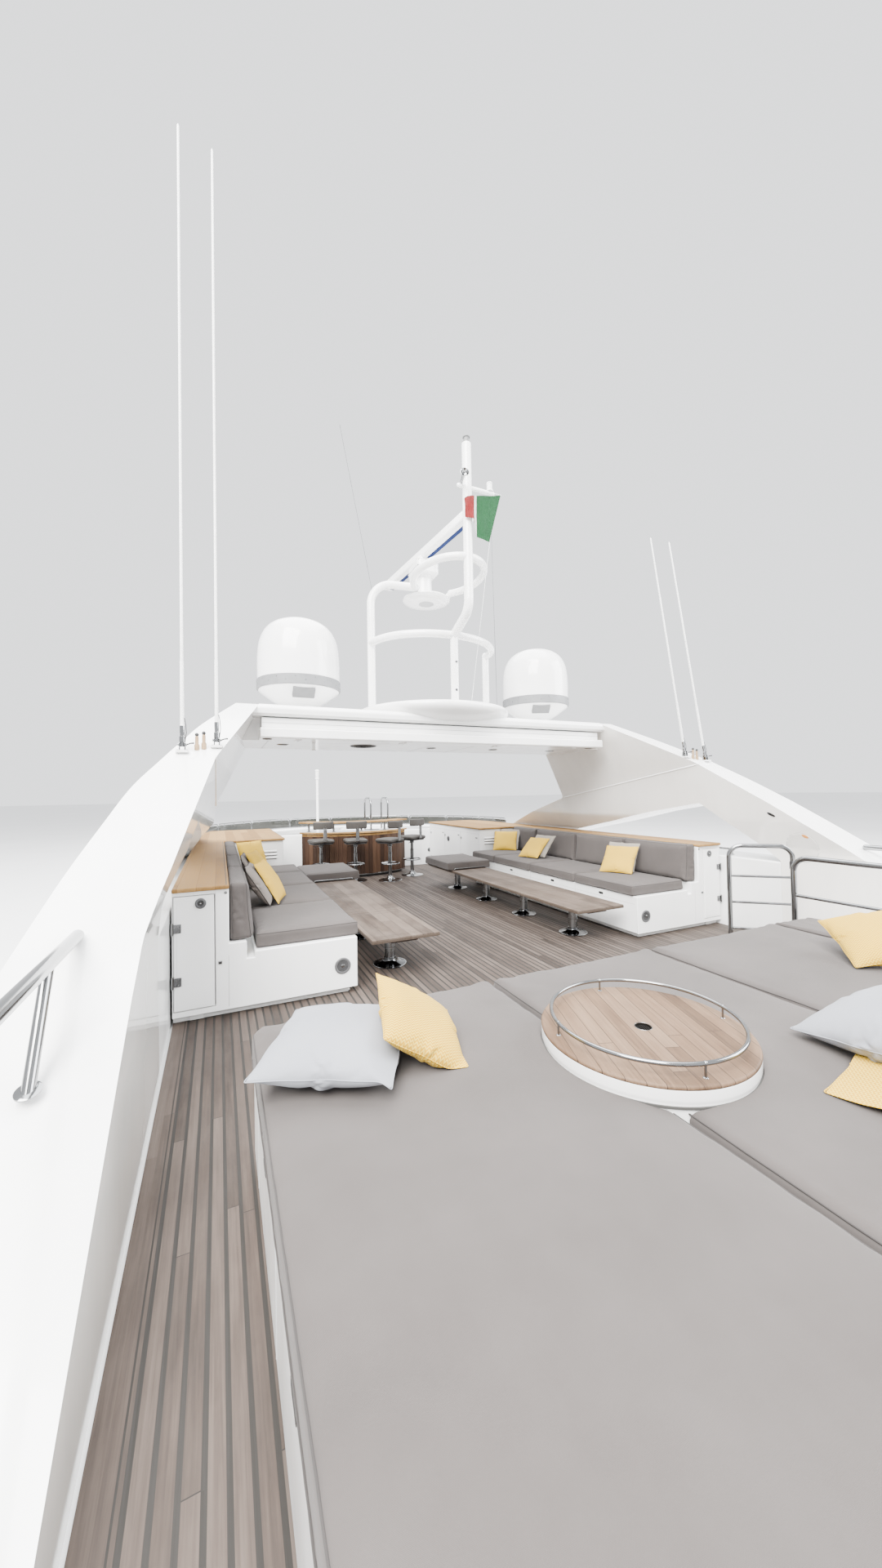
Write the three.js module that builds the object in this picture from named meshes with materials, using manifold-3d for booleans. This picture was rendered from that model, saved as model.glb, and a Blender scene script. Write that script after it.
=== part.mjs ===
// Sun deck of a large motor yacht: deck moulding with teak planking, side coamings, radar arch
// with mast and domes, sofas, low tables, curved bar with swivel stools, spa platform,
// windscreen, sun pad and guard rails.
// Millimetres, +Z up, +Y towards the bow, +X to starboard.
// Origin: centre of the flat underside of the deck moulding.
import * as THREE from 'three';
import { mergeVertices } from 'three/addons/utils/BufferGeometryUtils.js';
import Module from 'manifold-3d';

const wasm = await Module();
wasm.setup();

// ---------------------------------------------------------------- driving dimensions
const GAP = 0.3;              // clearance between touching pieces
const DECK_DEPTH = 400;       // underside of the moulding to the walking surface
const TEAK = 15;              // planking thickness
const HALF_LENGTH = 6550;
const HALF_BEAM = 3260;
const TEAK_HALF = 2745;       // half width of the planked well
const COAMING_IN = 2760;      // inner face of the side coamings
const COAMING_TOP = 780;

const ARCH_AFT = -4560;       // aft toe of the arch leg
const ARCH_FWD = 2900;        // forward toe of the arch leg
const LEG_SPLIT = -2450;      // forward side of the aft leg, where the coaming begins
const BEAM_UNDER = 2091;
const BEAM_TOP = 2440;

const UNIT_AFT = -1784;       // aft end of the side units
const UNIT_FWD = 1790;        // where the sofa meets the forward cabinet
const SEAT_FRONT = 1472;
const CABINET_IN = 2390;
const CABINET_OUT = 2746;
const CABINET_TOP = 892;      // underside of the teak top
const TOP_THICK = 30;
const BASE_TOP = 430;
const SEAT_TOP = 550;
const LEDGE_X = -2275;        // inboard face of the ledge that carries the back cushions
const LEDGE_TOP = 508;
const FORE_CABINET_IN = 1612;
const FORE_CABINET_END = 3980;

const TABLE_IN = 740;
const TABLE_OUT = 1340;
const TABLE_TOP = 360;
const TABLE_THICK = 38;
const TABLE_AFT = -1740;
const LEAF = 940;

const PAD_FWD = -3265;
const PAD_AFT = -5360;
const PAD_LEFT = -2345;
const PAD_RIGHT = 1640;
const PAD_BASE_TOP = 430;
const PAD_TOP = 560;
const ROUND_X = -944.5;       // round table let into the sun pad
const ROUND_Y = -4122;
const ROUND_R = 391.5;
const ROUND_TOP = 620;

const SPA_AFT = 4215;         // aft wall of the raised spa platform
const SPA_TOP = 760;
const BAR_CENTRE_Y = 4735;
const BAR_R = 1450;

const RAIL_Z = 976;           // guard rail above the deck
const RAIL_X = 2990;

// ---------------------------------------------------------------- materials
const finish = (color, roughness, metalness = 0, extra = {}) =>
  new THREE.MeshStandardMaterial({ color, roughness, metalness, ...extra });
const gelcoat = () => finish(0xf1f0ee, 0.22);
const teakGrey = () => finish(0x8a7c70, 0.75);
const teakHoney = () => finish(0xc99a63, 0.45);
const teakPale = () => finish(0xab9c8d, 0.7);
const walnut = () => finish(0x7b5844, 0.5);
const steel = () => finish(0xc9cbcd, 0.14, 1);
const cloth = () => finish(0x96918f, 0.85);
const yellow = () => finish(0xecd283, 0.9);
const pale = () => finish(0xd6d9de, 0.9);
const glassy = () => finish(0x82807a, 0.08, 0, { transparent: true, opacity: 0.5 });

// ---------------------------------------------------------------- shape helpers
const V = (x, y, z) => new THREE.Vector3(x, y, z);

function merged(geometry) {
  const g = geometry.clone();
  for (const key of Object.keys(g.attributes)) if (key !== 'position') g.deleteAttribute(key);
  return mergeVertices(g, 1e-3);
}
function toSolid(geometry) {
  const g = merged(geometry);
  return new wasm.Manifold(new wasm.Mesh({
    numProp: 3,
    vertProperties: new Float32Array(g.attributes.position.array),
    triVerts: new Uint32Array(g.index.array),
  }));
}
function fromSolid(solid) {
  const mesh = solid.getMesh();
  const n = mesh.numProp;
  const count = mesh.vertProperties.length / n;
  const position = new Float32Array(count * 3);
  for (let i = 0; i < count; i += 1) {
    for (let k = 0; k < 3; k += 1) position[i * 3 + k] = mesh.vertProperties[i * n + k];
  }
  const g = new THREE.BufferGeometry();
  g.setAttribute('position', new THREE.BufferAttribute(position, 3));
  g.setIndex(new THREE.BufferAttribute(new Uint32Array(mesh.triVerts), 1));
  g.computeVertexNormals();
  return g;
}
const join = (...parts) => fromSolid(parts.flat().map(toSolid).reduce((a, b) => a.add(b)));
const cut = (base, ...tools) => fromSolid(tools.flat().map(toSolid).reduce((a, b) => a.subtract(b), toSolid(base)));

function box(x0, x1, y0, y1, z0, z1) {
  const g = new THREE.BoxGeometry(x1 - x0, y1 - y0, z1 - z0);
  g.translate((x0 + x1) / 2, (y0 + y1) / 2, (z0 + z1) / 2);
  return g;
}
const outline = (points) => new THREE.Shape(points.map(([a, b]) => new THREE.Vector2(a, b)));

// plan outline (x, y) raised from z0 to z1
function plate(points, z0, z1, holes = []) {
  const shape = outline(points);
  holes.forEach((h) => shape.holes.push(new THREE.Path(h.map(([a, b]) => new THREE.Vector2(a, b)))));
  const g = new THREE.ExtrudeGeometry(shape, { depth: z1 - z0, bevelEnabled: false, steps: 1 });
  g.translate(0, 0, z0);
  return g;
}
// side profile (y, z) drawn out along X from x0 to x1
function sideProfile(points, x0, x1, holes = []) {
  const shape = outline(points);
  holes.forEach((h) => shape.holes.push(new THREE.Path(h.map(([a, b]) => new THREE.Vector2(a, b)))));
  const g = new THREE.ExtrudeGeometry(shape, { depth: x1 - x0, bevelEnabled: false, steps: 1 });
  g.applyMatrix4(new THREE.Matrix4().makeBasis(V(0, 1, 0), V(0, 0, 1), V(1, 0, 0)));
  g.translate(x0, 0, 0);
  return g;
}
// cross-section (x, z) drawn out along Y from y0 to y1
function crossProfile(points, y0, y1) {
  const g = new THREE.ExtrudeGeometry(outline(points), { depth: y1 - y0, bevelEnabled: false, steps: 1 });
  g.applyMatrix4(new THREE.Matrix4().makeBasis(V(1, 0, 0), V(0, 0, 1), V(0, -1, 0)));
  g.translate(0, y1, 0);
  return g;
}
// turned profile (radius, z) about a vertical axis at x, y
function turned(profile, x, y, segments = 24) {
  const g = new THREE.LatheGeometry(profile.map(([r, z]) => new THREE.Vector2(r, z)), segments);
  g.rotateX(Math.PI / 2);
  g.translate(x, y, 0);
  return g;
}
function rod(a, b, r, sides = 6) {
  const d = b.clone().sub(a);
  const g = new THREE.CylinderGeometry(r, r, d.length(), sides);
  g.applyQuaternion(new THREE.Quaternion().setFromUnitVectors(V(0, 1, 0), d.normalize()));
  const m = a.clone().add(b).multiplyScalar(0.5);
  g.translate(m.x, m.y, m.z);
  return g;
}
function ring(centre, r, tube, sides = 8, segments = 28) {
  const g = new THREE.TorusGeometry(r, tube, sides, segments);
  g.translate(centre.x, centre.y, centre.z);
  return g;
}
// a route through given points, sampled exactly at them
class Route extends THREE.Curve {
  constructor(points) {
    super();
    this.points = points;
  }

  getPoint(t, target = new THREE.Vector3()) {
    const n = this.points.length - 1;
    const s = Math.min(Math.max(t * n, 0), n);
    const i = Math.min(Math.floor(s + 1e-9), n - 1);
    return target.lerpVectors(this.points[i], this.points[i + 1], s - i);
  }

  getPointAt(u, target) { return this.getPoint(u, target); }

  getTangentAt(u, target = new THREE.Vector3()) {
    const n = this.points.length - 1;
    const i = Math.round(u * n);
    const a = this.points[Math.max(i - 1, 0)];
    const b = this.points[Math.min(i + 1, n)];
    const p = this.points[i];
    const back = i > 0 ? p.clone().sub(a).normalize() : V(0, 0, 0);
    const on = i < n ? b.clone().sub(p).normalize() : V(0, 0, 0);
    return target.copy(back.add(on).normalize());
  }
}
// corner points of a polyline rounded to the given radius, n steps each
function rounded(points, radius, n = 4) {
  const out = [points[0]];
  for (let i = 1; i < points.length - 1; i += 1) {
    const p = points[i];
    const a = points[i - 1].clone().sub(p);
    const b = points[i + 1].clone().sub(p);
    const la = a.length();
    const lb = b.length();
    a.normalize();
    b.normalize();
    const half = Math.acos(Math.min(1, Math.max(-1, a.dot(b)))) / 2;
    const t = Math.min(radius / Math.tan(half), la * 0.48, lb * 0.48);
    const p0 = p.clone().addScaledVector(a, t);
    const p1 = p.clone().addScaledVector(b, t);
    for (let k = 0; k <= n; k += 1) {
      const s = k / n;
      out.push(p0.clone().multiplyScalar((1 - s) * (1 - s))
        .addScaledVector(p, 2 * s * (1 - s)).addScaledVector(p1, s * s));
    }
  }
  out.push(points[points.length - 1]);
  return out;
}
function tube(points, r, sides = 6) {
  const circle = [];
  for (let i = 0; i < sides; i += 1) {
    const a = (i / sides) * 2 * Math.PI;
    circle.push([r * Math.cos(a), r * Math.sin(a)]);
  }
  return new THREE.ExtrudeGeometry(outline(circle), {
    steps: points.length - 1, bevelEnabled: false, extrudePath: new Route(points),
  });
}
function arc(cx, cy, r, from, to, n) {
  const out = [];
  for (let i = 0; i <= n; i += 1) {
    const a = THREE.MathUtils.degToRad(from + ((to - from) * i) / n);
    out.push([cx + r * Math.cos(a), cy + r * Math.sin(a)]);
  }
  return out;
}
function mirrored(geometry) {
  const g = merged(geometry);
  const p = g.attributes.position;
  for (let i = 0; i < p.count; i += 1) p.setX(i, -p.getX(i));
  const idx = g.index.array;
  for (let i = 0; i < idx.length; i += 3) [idx[i], idx[i + 1]] = [idx[i + 1], idx[i]];
  g.computeVertexNormals();
  return g;
}
// straight-line table look-up: rows of [z, x]
function along(rows, z) {
  if (z <= rows[0][0]) return rows[0][1];
  for (let i = 1; i < rows.length; i += 1) {
    if (z <= rows[i][0]) {
      const [z0, x0] = rows[i - 1];
      const [z1, x1] = rows[i];
      return x0 + ((x1 - x0) * (z - z0)) / (z1 - z0);
    }
  }
  return rows[rows.length - 1][1];
}
// a pillow: a lens with four drawn-out corners, size w by h, thickness t, turned and placed
function pillow(w, h, t, at, euler) {
  const rim = [];
  const side = 3;
  for (let k = 0; k < 4; k += 1) {
    const a = [[-1, -1], [1, -1], [1, 1], [-1, 1]][k];
    const b = [[1, -1], [1, 1], [-1, 1], [-1, -1]][k];
    for (let i = 0; i < side; i += 1) {
      const s = i / side;
      const pull = 1 - 0.09 * Math.sin(Math.PI * s);
      rim.push([(a[0] + (b[0] - a[0]) * s) * pull * w / 2, (a[1] + (b[1] - a[1]) * s) * pull * h / 2]);
    }
  }
  const levels = [[1, 0], [0.66, 0.8]];   // share of the rim, share of half thickness
  const position = [];
  const rows = [];
  const add = (x, y, z) => { position.push(x, y, z); return position.length / 3 - 1; };
  const order = [...levels.slice(1).reverse().map(([s, q]) => [s, -q]), ...levels];
  const bottom = add(0, 0, -t / 2);
  order.forEach(([s, q]) => rows.push(rim.map(([x, y]) => add(x * s, y * s, (q * t) / 2))));
  const top = add(0, 0, t / 2);
  const index = [];
  const n = rim.length;
  for (let i = 0; i < n; i += 1) {
    const j = (i + 1) % n;
    index.push(bottom, rows[0][j], rows[0][i]);
    for (let r = 0; r + 1 < rows.length; r += 1) {
      index.push(rows[r][i], rows[r][j], rows[r + 1][j], rows[r][i], rows[r + 1][j], rows[r + 1][i]);
    }
    index.push(top, rows[rows.length - 1][i], rows[rows.length - 1][j]);
  }
  const g = new THREE.BufferGeometry();
  g.setAttribute('position', new THREE.BufferAttribute(new Float32Array(position), 3));
  g.setIndex(index);
  g.applyMatrix4(new THREE.Matrix4().makeRotationFromEuler(new THREE.Euler(...euler.map(THREE.MathUtils.degToRad), 'ZYX')));
  g.translate(...at);
  return g;
}

// ---------------------------------------------------------------- the object
const yacht = new THREE.Group();
const deck = new THREE.Group();           // everything inside is measured from the walking surface
deck.position.z = DECK_DEPTH;
yacht.add(deck);
function put(name, geometry, material) {
  const mesh = new THREE.Mesh(geometry, material);
  mesh.name = name;
  deck.add(mesh);
  return mesh;
}
function both(name, geometry, material) {
  put(`port_${name}`, geometry, material());
  put(`starboard_${name}`, mirrored(geometry), material());
}

// ---- deck moulding and planking
// half outline of the deck edge: x, y
const EDGE = [
  [2900, -6550], [3160, -6460], [3260, -6200], [3260, 2900], [3200, 3600], [3040, 4300],
  [2720, 5000], [2260, 5600], [1640, 6090], [860, 6420],
];
const insetEdge = (d) => EDGE.map(([x, y], i) => {
  const a = EDGE[Math.max(i - 1, 0)];
  const b = EDGE[Math.min(i + 1, EDGE.length - 1)];
  const tx = b[0] - a[0];
  const ty = b[1] - a[1];
  const l = Math.hypot(tx, ty);
  return [x - (d * ty) / l, y + (d * tx) / l];
});
const INNER_EDGE = insetEdge(500).slice(2).map(([x, y]) => [y, x]);   // y, half width inside the coaming
const innerX = (y) => along(INNER_EDGE, y);
const wholeEdge = [...EDGE, [0, HALF_LENGTH], ...EDGE.map(([x, y]) => [-x, y]).reverse()];
const STAIR = { x0: 1740, x1: 2400, y0: -5400, y1: -3240, tread: 260, riser: 205 };
const stairHole = [[STAIR.x0, STAIR.y0], [STAIR.x1, STAIR.y0], [STAIR.x1, STAIR.y1], [STAIR.x0, STAIR.y1]];
put('deck_moulding', join(
  plate(wholeEdge, -DECK_DEPTH, -TEAK, [stairHole]),
  box(STAIR.x0 - 20, STAIR.x1 + 20, STAIR.y1 - STAIR.tread, STAIR.y1 + 20, -DECK_DEPTH, -STAIR.riser),
), gelcoat());
const teakSide = [2890, 3600, SPA_AFT - GAP].map((y) => [innerX(y) - 15, y]);
put('teak_deck', plate([
  [-TEAK_HALF, -6380], [TEAK_HALF, -6380], ...teakSide, ...teakSide.map(([x, y]) => [-x, y]).reverse(),
], -TEAK + GAP, 0, [[
  [STAIR.x0 - 12, STAIR.y0 - 12], [STAIR.x1 + 12, STAIR.y0 - 12],
  [STAIR.x1 + 12, STAIR.y1 + 12], [STAIR.x0 - 12, STAIR.y1 + 12],
]]), teakGrey());

// ---- side coamings, meeting at the bow
{
  const inner = insetEdge(500).slice(3).map(([x, y]) => [x, y]);
  const outer = insetEdge(0).slice(3);
  const plan = [
    [-HALF_BEAM, LEG_SPLIT + GAP],
    [-COAMING_IN, LEG_SPLIT + GAP],
    ...inner.map(([x, y]) => [-x, y]),
    [-GAP / 2, HALF_LENGTH - 490],
    [-GAP / 2, HALF_LENGTH - 20],
    ...outer.map(([x, y]) => [-x, y]).reverse(),
  ];
  both('coaming', plate(plan, -TEAK + GAP, COAMING_TOP), gelcoat);
}

// ---- radar arch side frames: side profile y, z
// the inner face is a lower frame and an upper panel that meet along a crease rising aft
const creaseZ = (y) => 1533.2 - 0.1615 * y;
function legInner(y, z) {
  const frameAt = (h) => 2605 + 0.265 * (1395 - h) - 0.0372 * (y + 2419);
  if (z <= 780) return 2758;
  if (z <= 930) return 2753 + (930 - z) / 30;
  if (z < 1190) return 2753 + ((frameAt(1190) - 2753) * (z - 930)) / 260;
  return frameAt(z) - 0.219 * Math.max(z - creaseZ(y), 0);
}
{
  const frame = [
    [-6500, -TEAK + GAP], [LEG_SPLIT, -TEAK + GAP], [LEG_SPLIT, COAMING_TOP + GAP], [-2438, 800],
    [-2217, 967], [-1930, 1182], [-1675, 1376],
    [-939, 1252], [-280, 1107], [634, 930], [1425, COAMING_TOP + GAP],
    [ARCH_FWD, COAMING_TOP + GAP], [2479, 930], [1500, 1190], [640, 1430],
    [632, 1803], [632, 2091], [560, 2360], [350, BEAM_TOP], [-450, BEAM_TOP], [-600, 2418],
    [-1150, 2139], [-1690, 1860], [-1940, 1700], [-2419, 1395], [-3147, 888], [-3612, 636],
    [ARCH_AFT, 120], [-6500, 120],
  ];
  // outer face at each height: z, half width
  const outer = [[-20, 3240], [780, 3240], [890, 3214], [930, 3201], [1190, 3112], [1400, 3023], [1603, 2935],
    [1806, 2796], [1950, 2695], [2091, 2600], [2445, 2270]];
  const blank = toSolid(sideProfile(frame, -1, 1));
  const low = toSolid(sideProfile([[-7000, -400], [4500, -400], [4500, creaseZ(4500)], [-7000, creaseZ(-7000)]], -2, 2));
  const high = toSolid(sideProfile([[-7000, creaseZ(-7000)], [4500, creaseZ(4500)], [4500, 4000], [-7000, 4000]], -2, 2));
  const pieces = [];
  for (let k = 0; k + 1 < outer.length; k += 1) {
    const band = blank.intersect(toSolid(box(-2, 2, -7000, 4000, outer[k][0], outer[k + 1][0])));
    for (const part of outer[k][0] < 1190 || outer[k][0] > 1900 ? [band] : [band.intersect(low), band.intersect(high)]) {
      const piece = fromSolid(part);
      const p = piece.attributes.position;
      for (let i = 0; i < p.count; i += 1) {
        const y = Math.round(p.getY(i) * 50) / 50;
        const z = Math.round(p.getZ(i) * 50) / 50;
        const x = p.getX(i) > 0 ? legInner(y, z) : along(outer, z);
        p.setXYZ(i, -Math.round(x * 50) / 50, y, z);
      }
      if (p.count > 0) pieces.push(piece);
    }
  }
  both('arch_leg', join(pieces), gelcoat);
}

// ---- cross-beam with the round mast plinth
const span = sideProfile([
  [-415, BEAM_UNDER], [560, BEAM_UNDER], [595, 2190], [570, 2360], [350, BEAM_TOP], [-450, BEAM_TOP],
  [-610, 2422], [-662, 2385], [-655, 2325], [-610, 2308], [-415, 2308],
], -1, 1);
for (let p = span.attributes.position, i = 0; i < p.count; i += 1) {
  p.setX(i, Math.sign(p.getX(i)) * (legInner(p.getY(i), p.getZ(i)) - 1.15 * GAP));   // sloped ends against the legs
}
put('arch_crossbeam', join(
  span,
  turned([[0, 2340], [700, 2340], [860, 2410], [925, 2470], [930, 2510], [890, 2545], [0, 2545]], 0, 30, 40),
), gelcoat());
put('awning_cassette', sideProfile([
  [-415 - GAP, BEAM_UNDER], [-415 - GAP, 2296], [-590, 2296], [-600, 2286], [-600, 2196],
  [-650, 2192], [-660, 2180], [-660, 2104], [-648, BEAM_UNDER],
], -2085, 2085), gelcoat());

// ---- mast of white tube, with the radar platform and its gearbox
const RADAR = { x: 0, y: 270, bar: 4620, length: 2200, rest: -84 };
{
  const R = 43;
  const legs = [[-780, 53], [780, 53]];
  const zPlinth = 2545 + GAP;
  const midZ = 3332;
  const half = [];
  for (let i = 0; i <= 14; i += 1) {
    const a = Math.PI + (Math.PI * i) / 14;
    half.push(V(780 * Math.cos(a), 53 + 653 * Math.sin(a), midZ));
  }
  const hoopRoute = [];
  for (let i = 0; i <= 20; i += 1) {
    const a = THREE.MathUtils.degToRad(52 - (i / 20) * 284);
    hoopRoute.push(V(20 + 385 * Math.cos(a), -420 + 530 * Math.sin(a), 4076));
  }
  put('mast_frame', join(
    tube(rounded([V(legs[0][0], legs[0][1], zPlinth), V(legs[0][0], legs[0][1], 4066), V(-225, 0, 4076)], 345, 6), R + 4),
    rod(V(legs[1][0], legs[1][1], zPlinth), V(legs[1][0], legs[1][1], midZ + 10), R),
    tube(half, R),
    rod(V(0, -600, zPlinth), V(0, -600, midZ + 10), R + 2, 10),
    tube(rounded([V(0, -600, midZ), V(10, -953, 3480), V(10, -953, 5300)], 130, 5), R + 7, 10),
    tube(hoopRoute, R - 1),
    rod(V(-217, -3, 4076), V(-190, 110, 3998), R - 8),
    rod(V(257, -3, 4076), V(190, 110, 3998), R - 8),
    rod(V(-90, -953, 4830), V(330, -953, 4830), 22),
    rod(V(10, -953, 5290), V(10, -953, 5380), 34),
    turned([[0, 3968], [210, 3974], [300, 3995], [300, 4018], [280, 4030], [0, 4030]], 0, 190, 20),
    // gearbox under the scanner
    turned([[0, 4020], [150, 4020], [150, 4070], [112, 4110], [105, 4330], [160, 4360], [165, 4480], [120, 4520],
      [0, 4520]], RADAR.x, RADAR.y, 16),
    box(RADAR.x - 150, RADAR.x + 150, RADAR.y - 190, RADAR.y + 190, 4350, 4490),
  ), gelcoat());
}

// ---- radar scanner bar, turning on the gearbox
{
  const bar = crossProfile([
    [-60, 4575], [60, 4575], [66, 4600], [52, 4690], [36, 4712], [-36, 4712], [-52, 4690], [-66, 4600],
  ], -RADAR.length / 2, RADAR.length / 2);
  const hub = turned([[0, 4525], [70, 4525], [90, 4560], [90, 4600], [0, 4600]], 0, 0, 16);
  const scanner = join(bar, hub);
  scanner.rotateZ(THREE.MathUtils.degToRad(RADAR.rest + 90));
  scanner.translate(RADAR.x, RADAR.y, 0);
  put('radar_scanner', scanner, gelcoat());
}

// ---- satellite domes
for (const [side, x] of [['port', -1608], ['starboard', 1628]]) {
  put(`${side}_radome`, turned([
    [0, BEAM_TOP + GAP], [190, BEAM_TOP + GAP], [190, 2535], [308, 2600], [436, 2700], [458, 2718], [458, 2820], [450, 2828],
    [447, 3100], [430, 3270], [365, 3408], [240, 3494], [0, 3520],
  ], x, 138, 24), gelcoat());
}

// ---- whip antennas on folding mounts at the arch shoulders: x, y, lean inboard, length
for (const [side, s, whips] of [
  ['port', -1, [[2680, -1690, 0, 4500], [2460, -1600, 0, 4500]]],
  ['starboard', 1, [[2680, -1690, 520, 2500], [2460, -1600, 480, 2500]]],
]) {
  const parts = [];
  parts.push(sideProfile([[-1760, 1826], [-1690, 1861], [-1560, 1929], [-1560, 1953], [-1690, 1886], [-1760, 1850]],
    s > 0 ? 2415 : -2725, s > 0 ? 2725 : -2415));
  for (const [x, y, lean, length] of whips) {
    const z = 1861 + Math.max(y + 1690, 0) * 0.52;
    const foot0 = V(s * x, y, z + 13);
    const top = V(s * (x - lean), y, z + length);
    const d = top.clone().sub(foot0).normalize();
    parts.push(rod(foot0, foot0.clone().addScaledVector(d, 130), 22, 8));
    parts.push(rod(foot0.clone().addScaledVector(d, 120), foot0.clone().addScaledVector(d, 620), 15, 6));
    parts.push(rod(foot0.clone().addScaledVector(d, 610), top, 10, 6));
  }
  put(`${side}_antennas`, join(parts), finish(0xeeeeec, 0.4));
}

// ---- ensign at the mast head, hanging from its halyard
put('flag', crossProfile([
  [-58, 4668], [80, 4712], [388, 4792], [232, 4240], [78, 4262], [62, 4440], [-52, 4452],
], -1042, -1012), finish(0x2f8f56, 0.9));

// ---- side units: sofa base, cabinet behind it, cabinet forward of it
const unitFlank = [[14 - innerX(FORE_CABINET_END), FORE_CABINET_END], [14 - innerX(3600), 3600], [-CABINET_OUT, 2890]];
const unitPlan = [
  [-CABINET_OUT, UNIT_AFT], [-SEAT_FRONT, UNIT_AFT], [-SEAT_FRONT, UNIT_FWD], [-FORE_CABINET_IN, UNIT_FWD],
  [-FORE_CABINET_IN, FORE_CABINET_END], ...unitFlank,
];
both('side_unit', cut(join(
  plate([[-CABINET_OUT, UNIT_AFT + 55], [-SEAT_FRONT - 55, UNIT_AFT + 55], [-SEAT_FRONT - 55, UNIT_FWD],
    [-FORE_CABINET_IN - 50, UNIT_FWD], [-FORE_CABINET_IN - 50, FORE_CABINET_END], ...unitFlank], GAP, 60),
  plate(unitPlan, 50, BASE_TOP),
  plate([[-CABINET_OUT, UNIT_AFT], [-CABINET_IN, UNIT_AFT], [-CABINET_IN, UNIT_FWD], [-FORE_CABINET_IN, UNIT_FWD],
    [-FORE_CABINET_IN, FORE_CABINET_END], ...unitFlank], 400, CABINET_TOP),
  box(-CABINET_IN - 10, LEDGE_X, UNIT_AFT, UNIT_FWD + 10, 400, LEDGE_TOP),        // ledge under the back cushions
), box(-2722, -2498, UNIT_AFT - 10, UNIT_AFT + 620, 105, 850),      // locker behind the end door
box(-2741, -2476, UNIT_AFT - 10, UNIT_AFT + 20, 86, 867),           // rebate for the door
box(LEDGE_X, -2222, UNIT_AFT - 10, UNIT_FWD - 40, 385, BASE_TOP + 20), // drain channel behind the seat
), gelcoat);
both('cabinet_door', join(
  box(-2736, -2486, UNIT_AFT - 4, UNIT_AFT + 14, 91, 862),
  rod(V(-2744, UNIT_AFT - 16, 250), V(-2744, UNIT_AFT - 16, 330), 9),
  box(-2744, -2690, UNIT_AFT - 18, UNIT_AFT - 2, 260, 320),
  rod(V(-2744, UNIT_AFT - 16, 610), V(-2744, UNIT_AFT - 16, 690), 9),
  box(-2744, -2690, UNIT_AFT - 18, UNIT_AFT - 2, 620, 680),
  box(-2600, -2540, UNIT_AFT - 16, UNIT_AFT - 2, 778, 838),
), gelcoat);
both('cabinet_top', plate([
  [-CABINET_OUT, UNIT_AFT - 25], [-CABINET_IN + 1, UNIT_AFT - 25], [-CABINET_IN + 1, UNIT_FWD - 22],
  [-FORE_CABINET_IN + 22, UNIT_FWD - 22], [-FORE_CABINET_IN + 22, FORE_CABINET_END], ...unitFlank,
], CABINET_TOP + GAP, CABINET_TOP + TOP_THICK), teakHoney);
both('seat_cushions', plate([
  [-2215, UNIT_AFT + 35], [-SEAT_FRONT + 25, UNIT_AFT + 35], [-SEAT_FRONT + 25, UNIT_FWD - 10],
  [-2215, UNIT_FWD - 10],
], BASE_TOP + GAP, SEAT_TOP), cloth);
// backrest, leaning outboard: cross-section x, z
both('back_cushions', crossProfile([
  [-2224, LEDGE_TOP + GAP], [-2220, 560], [-2252, 900], [-2275, 926], [-2360, 926], [-2386, 905],
  [-2386, 560], [-2376, LEDGE_TOP + GAP],
], UNIT_AFT + 20, UNIT_FWD - 30), cloth);

// ---- low tables: four leaves each, the forward one carrying the ottoman cushion
{
  const leaves = [0, 1, 2, 3].map((i) => box(
    -TABLE_OUT, -TABLE_IN, TABLE_AFT + i * LEAF + 2, TABLE_AFT + (i + 1) * LEAF - 2,
    TABLE_TOP - TABLE_THICK, TABLE_TOP));
  const bearer = box(-TABLE_OUT + 180, -TABLE_IN - 180, TABLE_AFT + 60, TABLE_AFT + 4 * LEAF - 60,
    TABLE_TOP - TABLE_THICK - 22, TABLE_TOP - TABLE_THICK + 5);
  both('table_top', join(leaves, bearer), teakPale);
  // pedestals tied under the leaves by a flat strap
  const parts = [box(-1070, -1020, TABLE_AFT + 300, TABLE_AFT + 4 * LEAF - 300, 284, 299.7)];
  for (const i of [0, 1, 2, 3]) {
    parts.push(turned([[0, GAP], [152, GAP], [152, 9], [46, 32], [46, 268], [95, 280], [95, 299.7], [0, 299.7]],
      -1045, TABLE_AFT + (i + 0.5) * LEAF - 20, 12));
  }
  both('table_pedestals', join(parts), steel);
  both('ottoman_cushion', box(-TABLE_OUT - 70, -TABLE_IN + 65, TABLE_AFT + 3 * LEAF + 15, TABLE_AFT + 4 * LEAF - 10,
    TABLE_TOP + GAP, TABLE_TOP + 130), cloth);
}

// ---- bar: curved counter, wooden top, raised ledge on posts
{
  const front = arc(0, BAR_CENTRE_Y, BAR_R, 180 + 43, 360 - 51, 16);
  const back = arc(0, BAR_CENTRE_Y, BAR_R - 430, 360 - 51, 180 + 43, 12);
  put('bar_counter', plate([...front, ...back], GAP, 812), walnut());
  const top = [...arc(0, BAR_CENTRE_Y, BAR_R + 35, 180 + 42, 360 - 50, 16),
    ...arc(0, BAR_CENTRE_Y, BAR_R - 460, 360 - 50, 180 + 42, 12)];
  const ledge = [...arc(0, BAR_CENTRE_Y, BAR_R + 15, 180 + 40.5, 360 - 48, 16),
    ...arc(0, BAR_CENTRE_Y, BAR_R - 245, 360 - 48, 180 + 40.5, 12)];
  const posts = [226, 247, 269, 290, 307].map((a) => {
    const t = THREE.MathUtils.degToRad(a);
    const x = (BAR_R - 120) * Math.cos(t);
    const y = BAR_CENTRE_Y + (BAR_R - 120) * Math.sin(t);
    return rod(V(x, y, 840), V(x, y, 1010), 21, 8);
  });
  put('bar_top', join(plate(top, 812 + GAP, 846), plate(ledge, 1000, 1030), posts), teakHoney());
}

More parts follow.
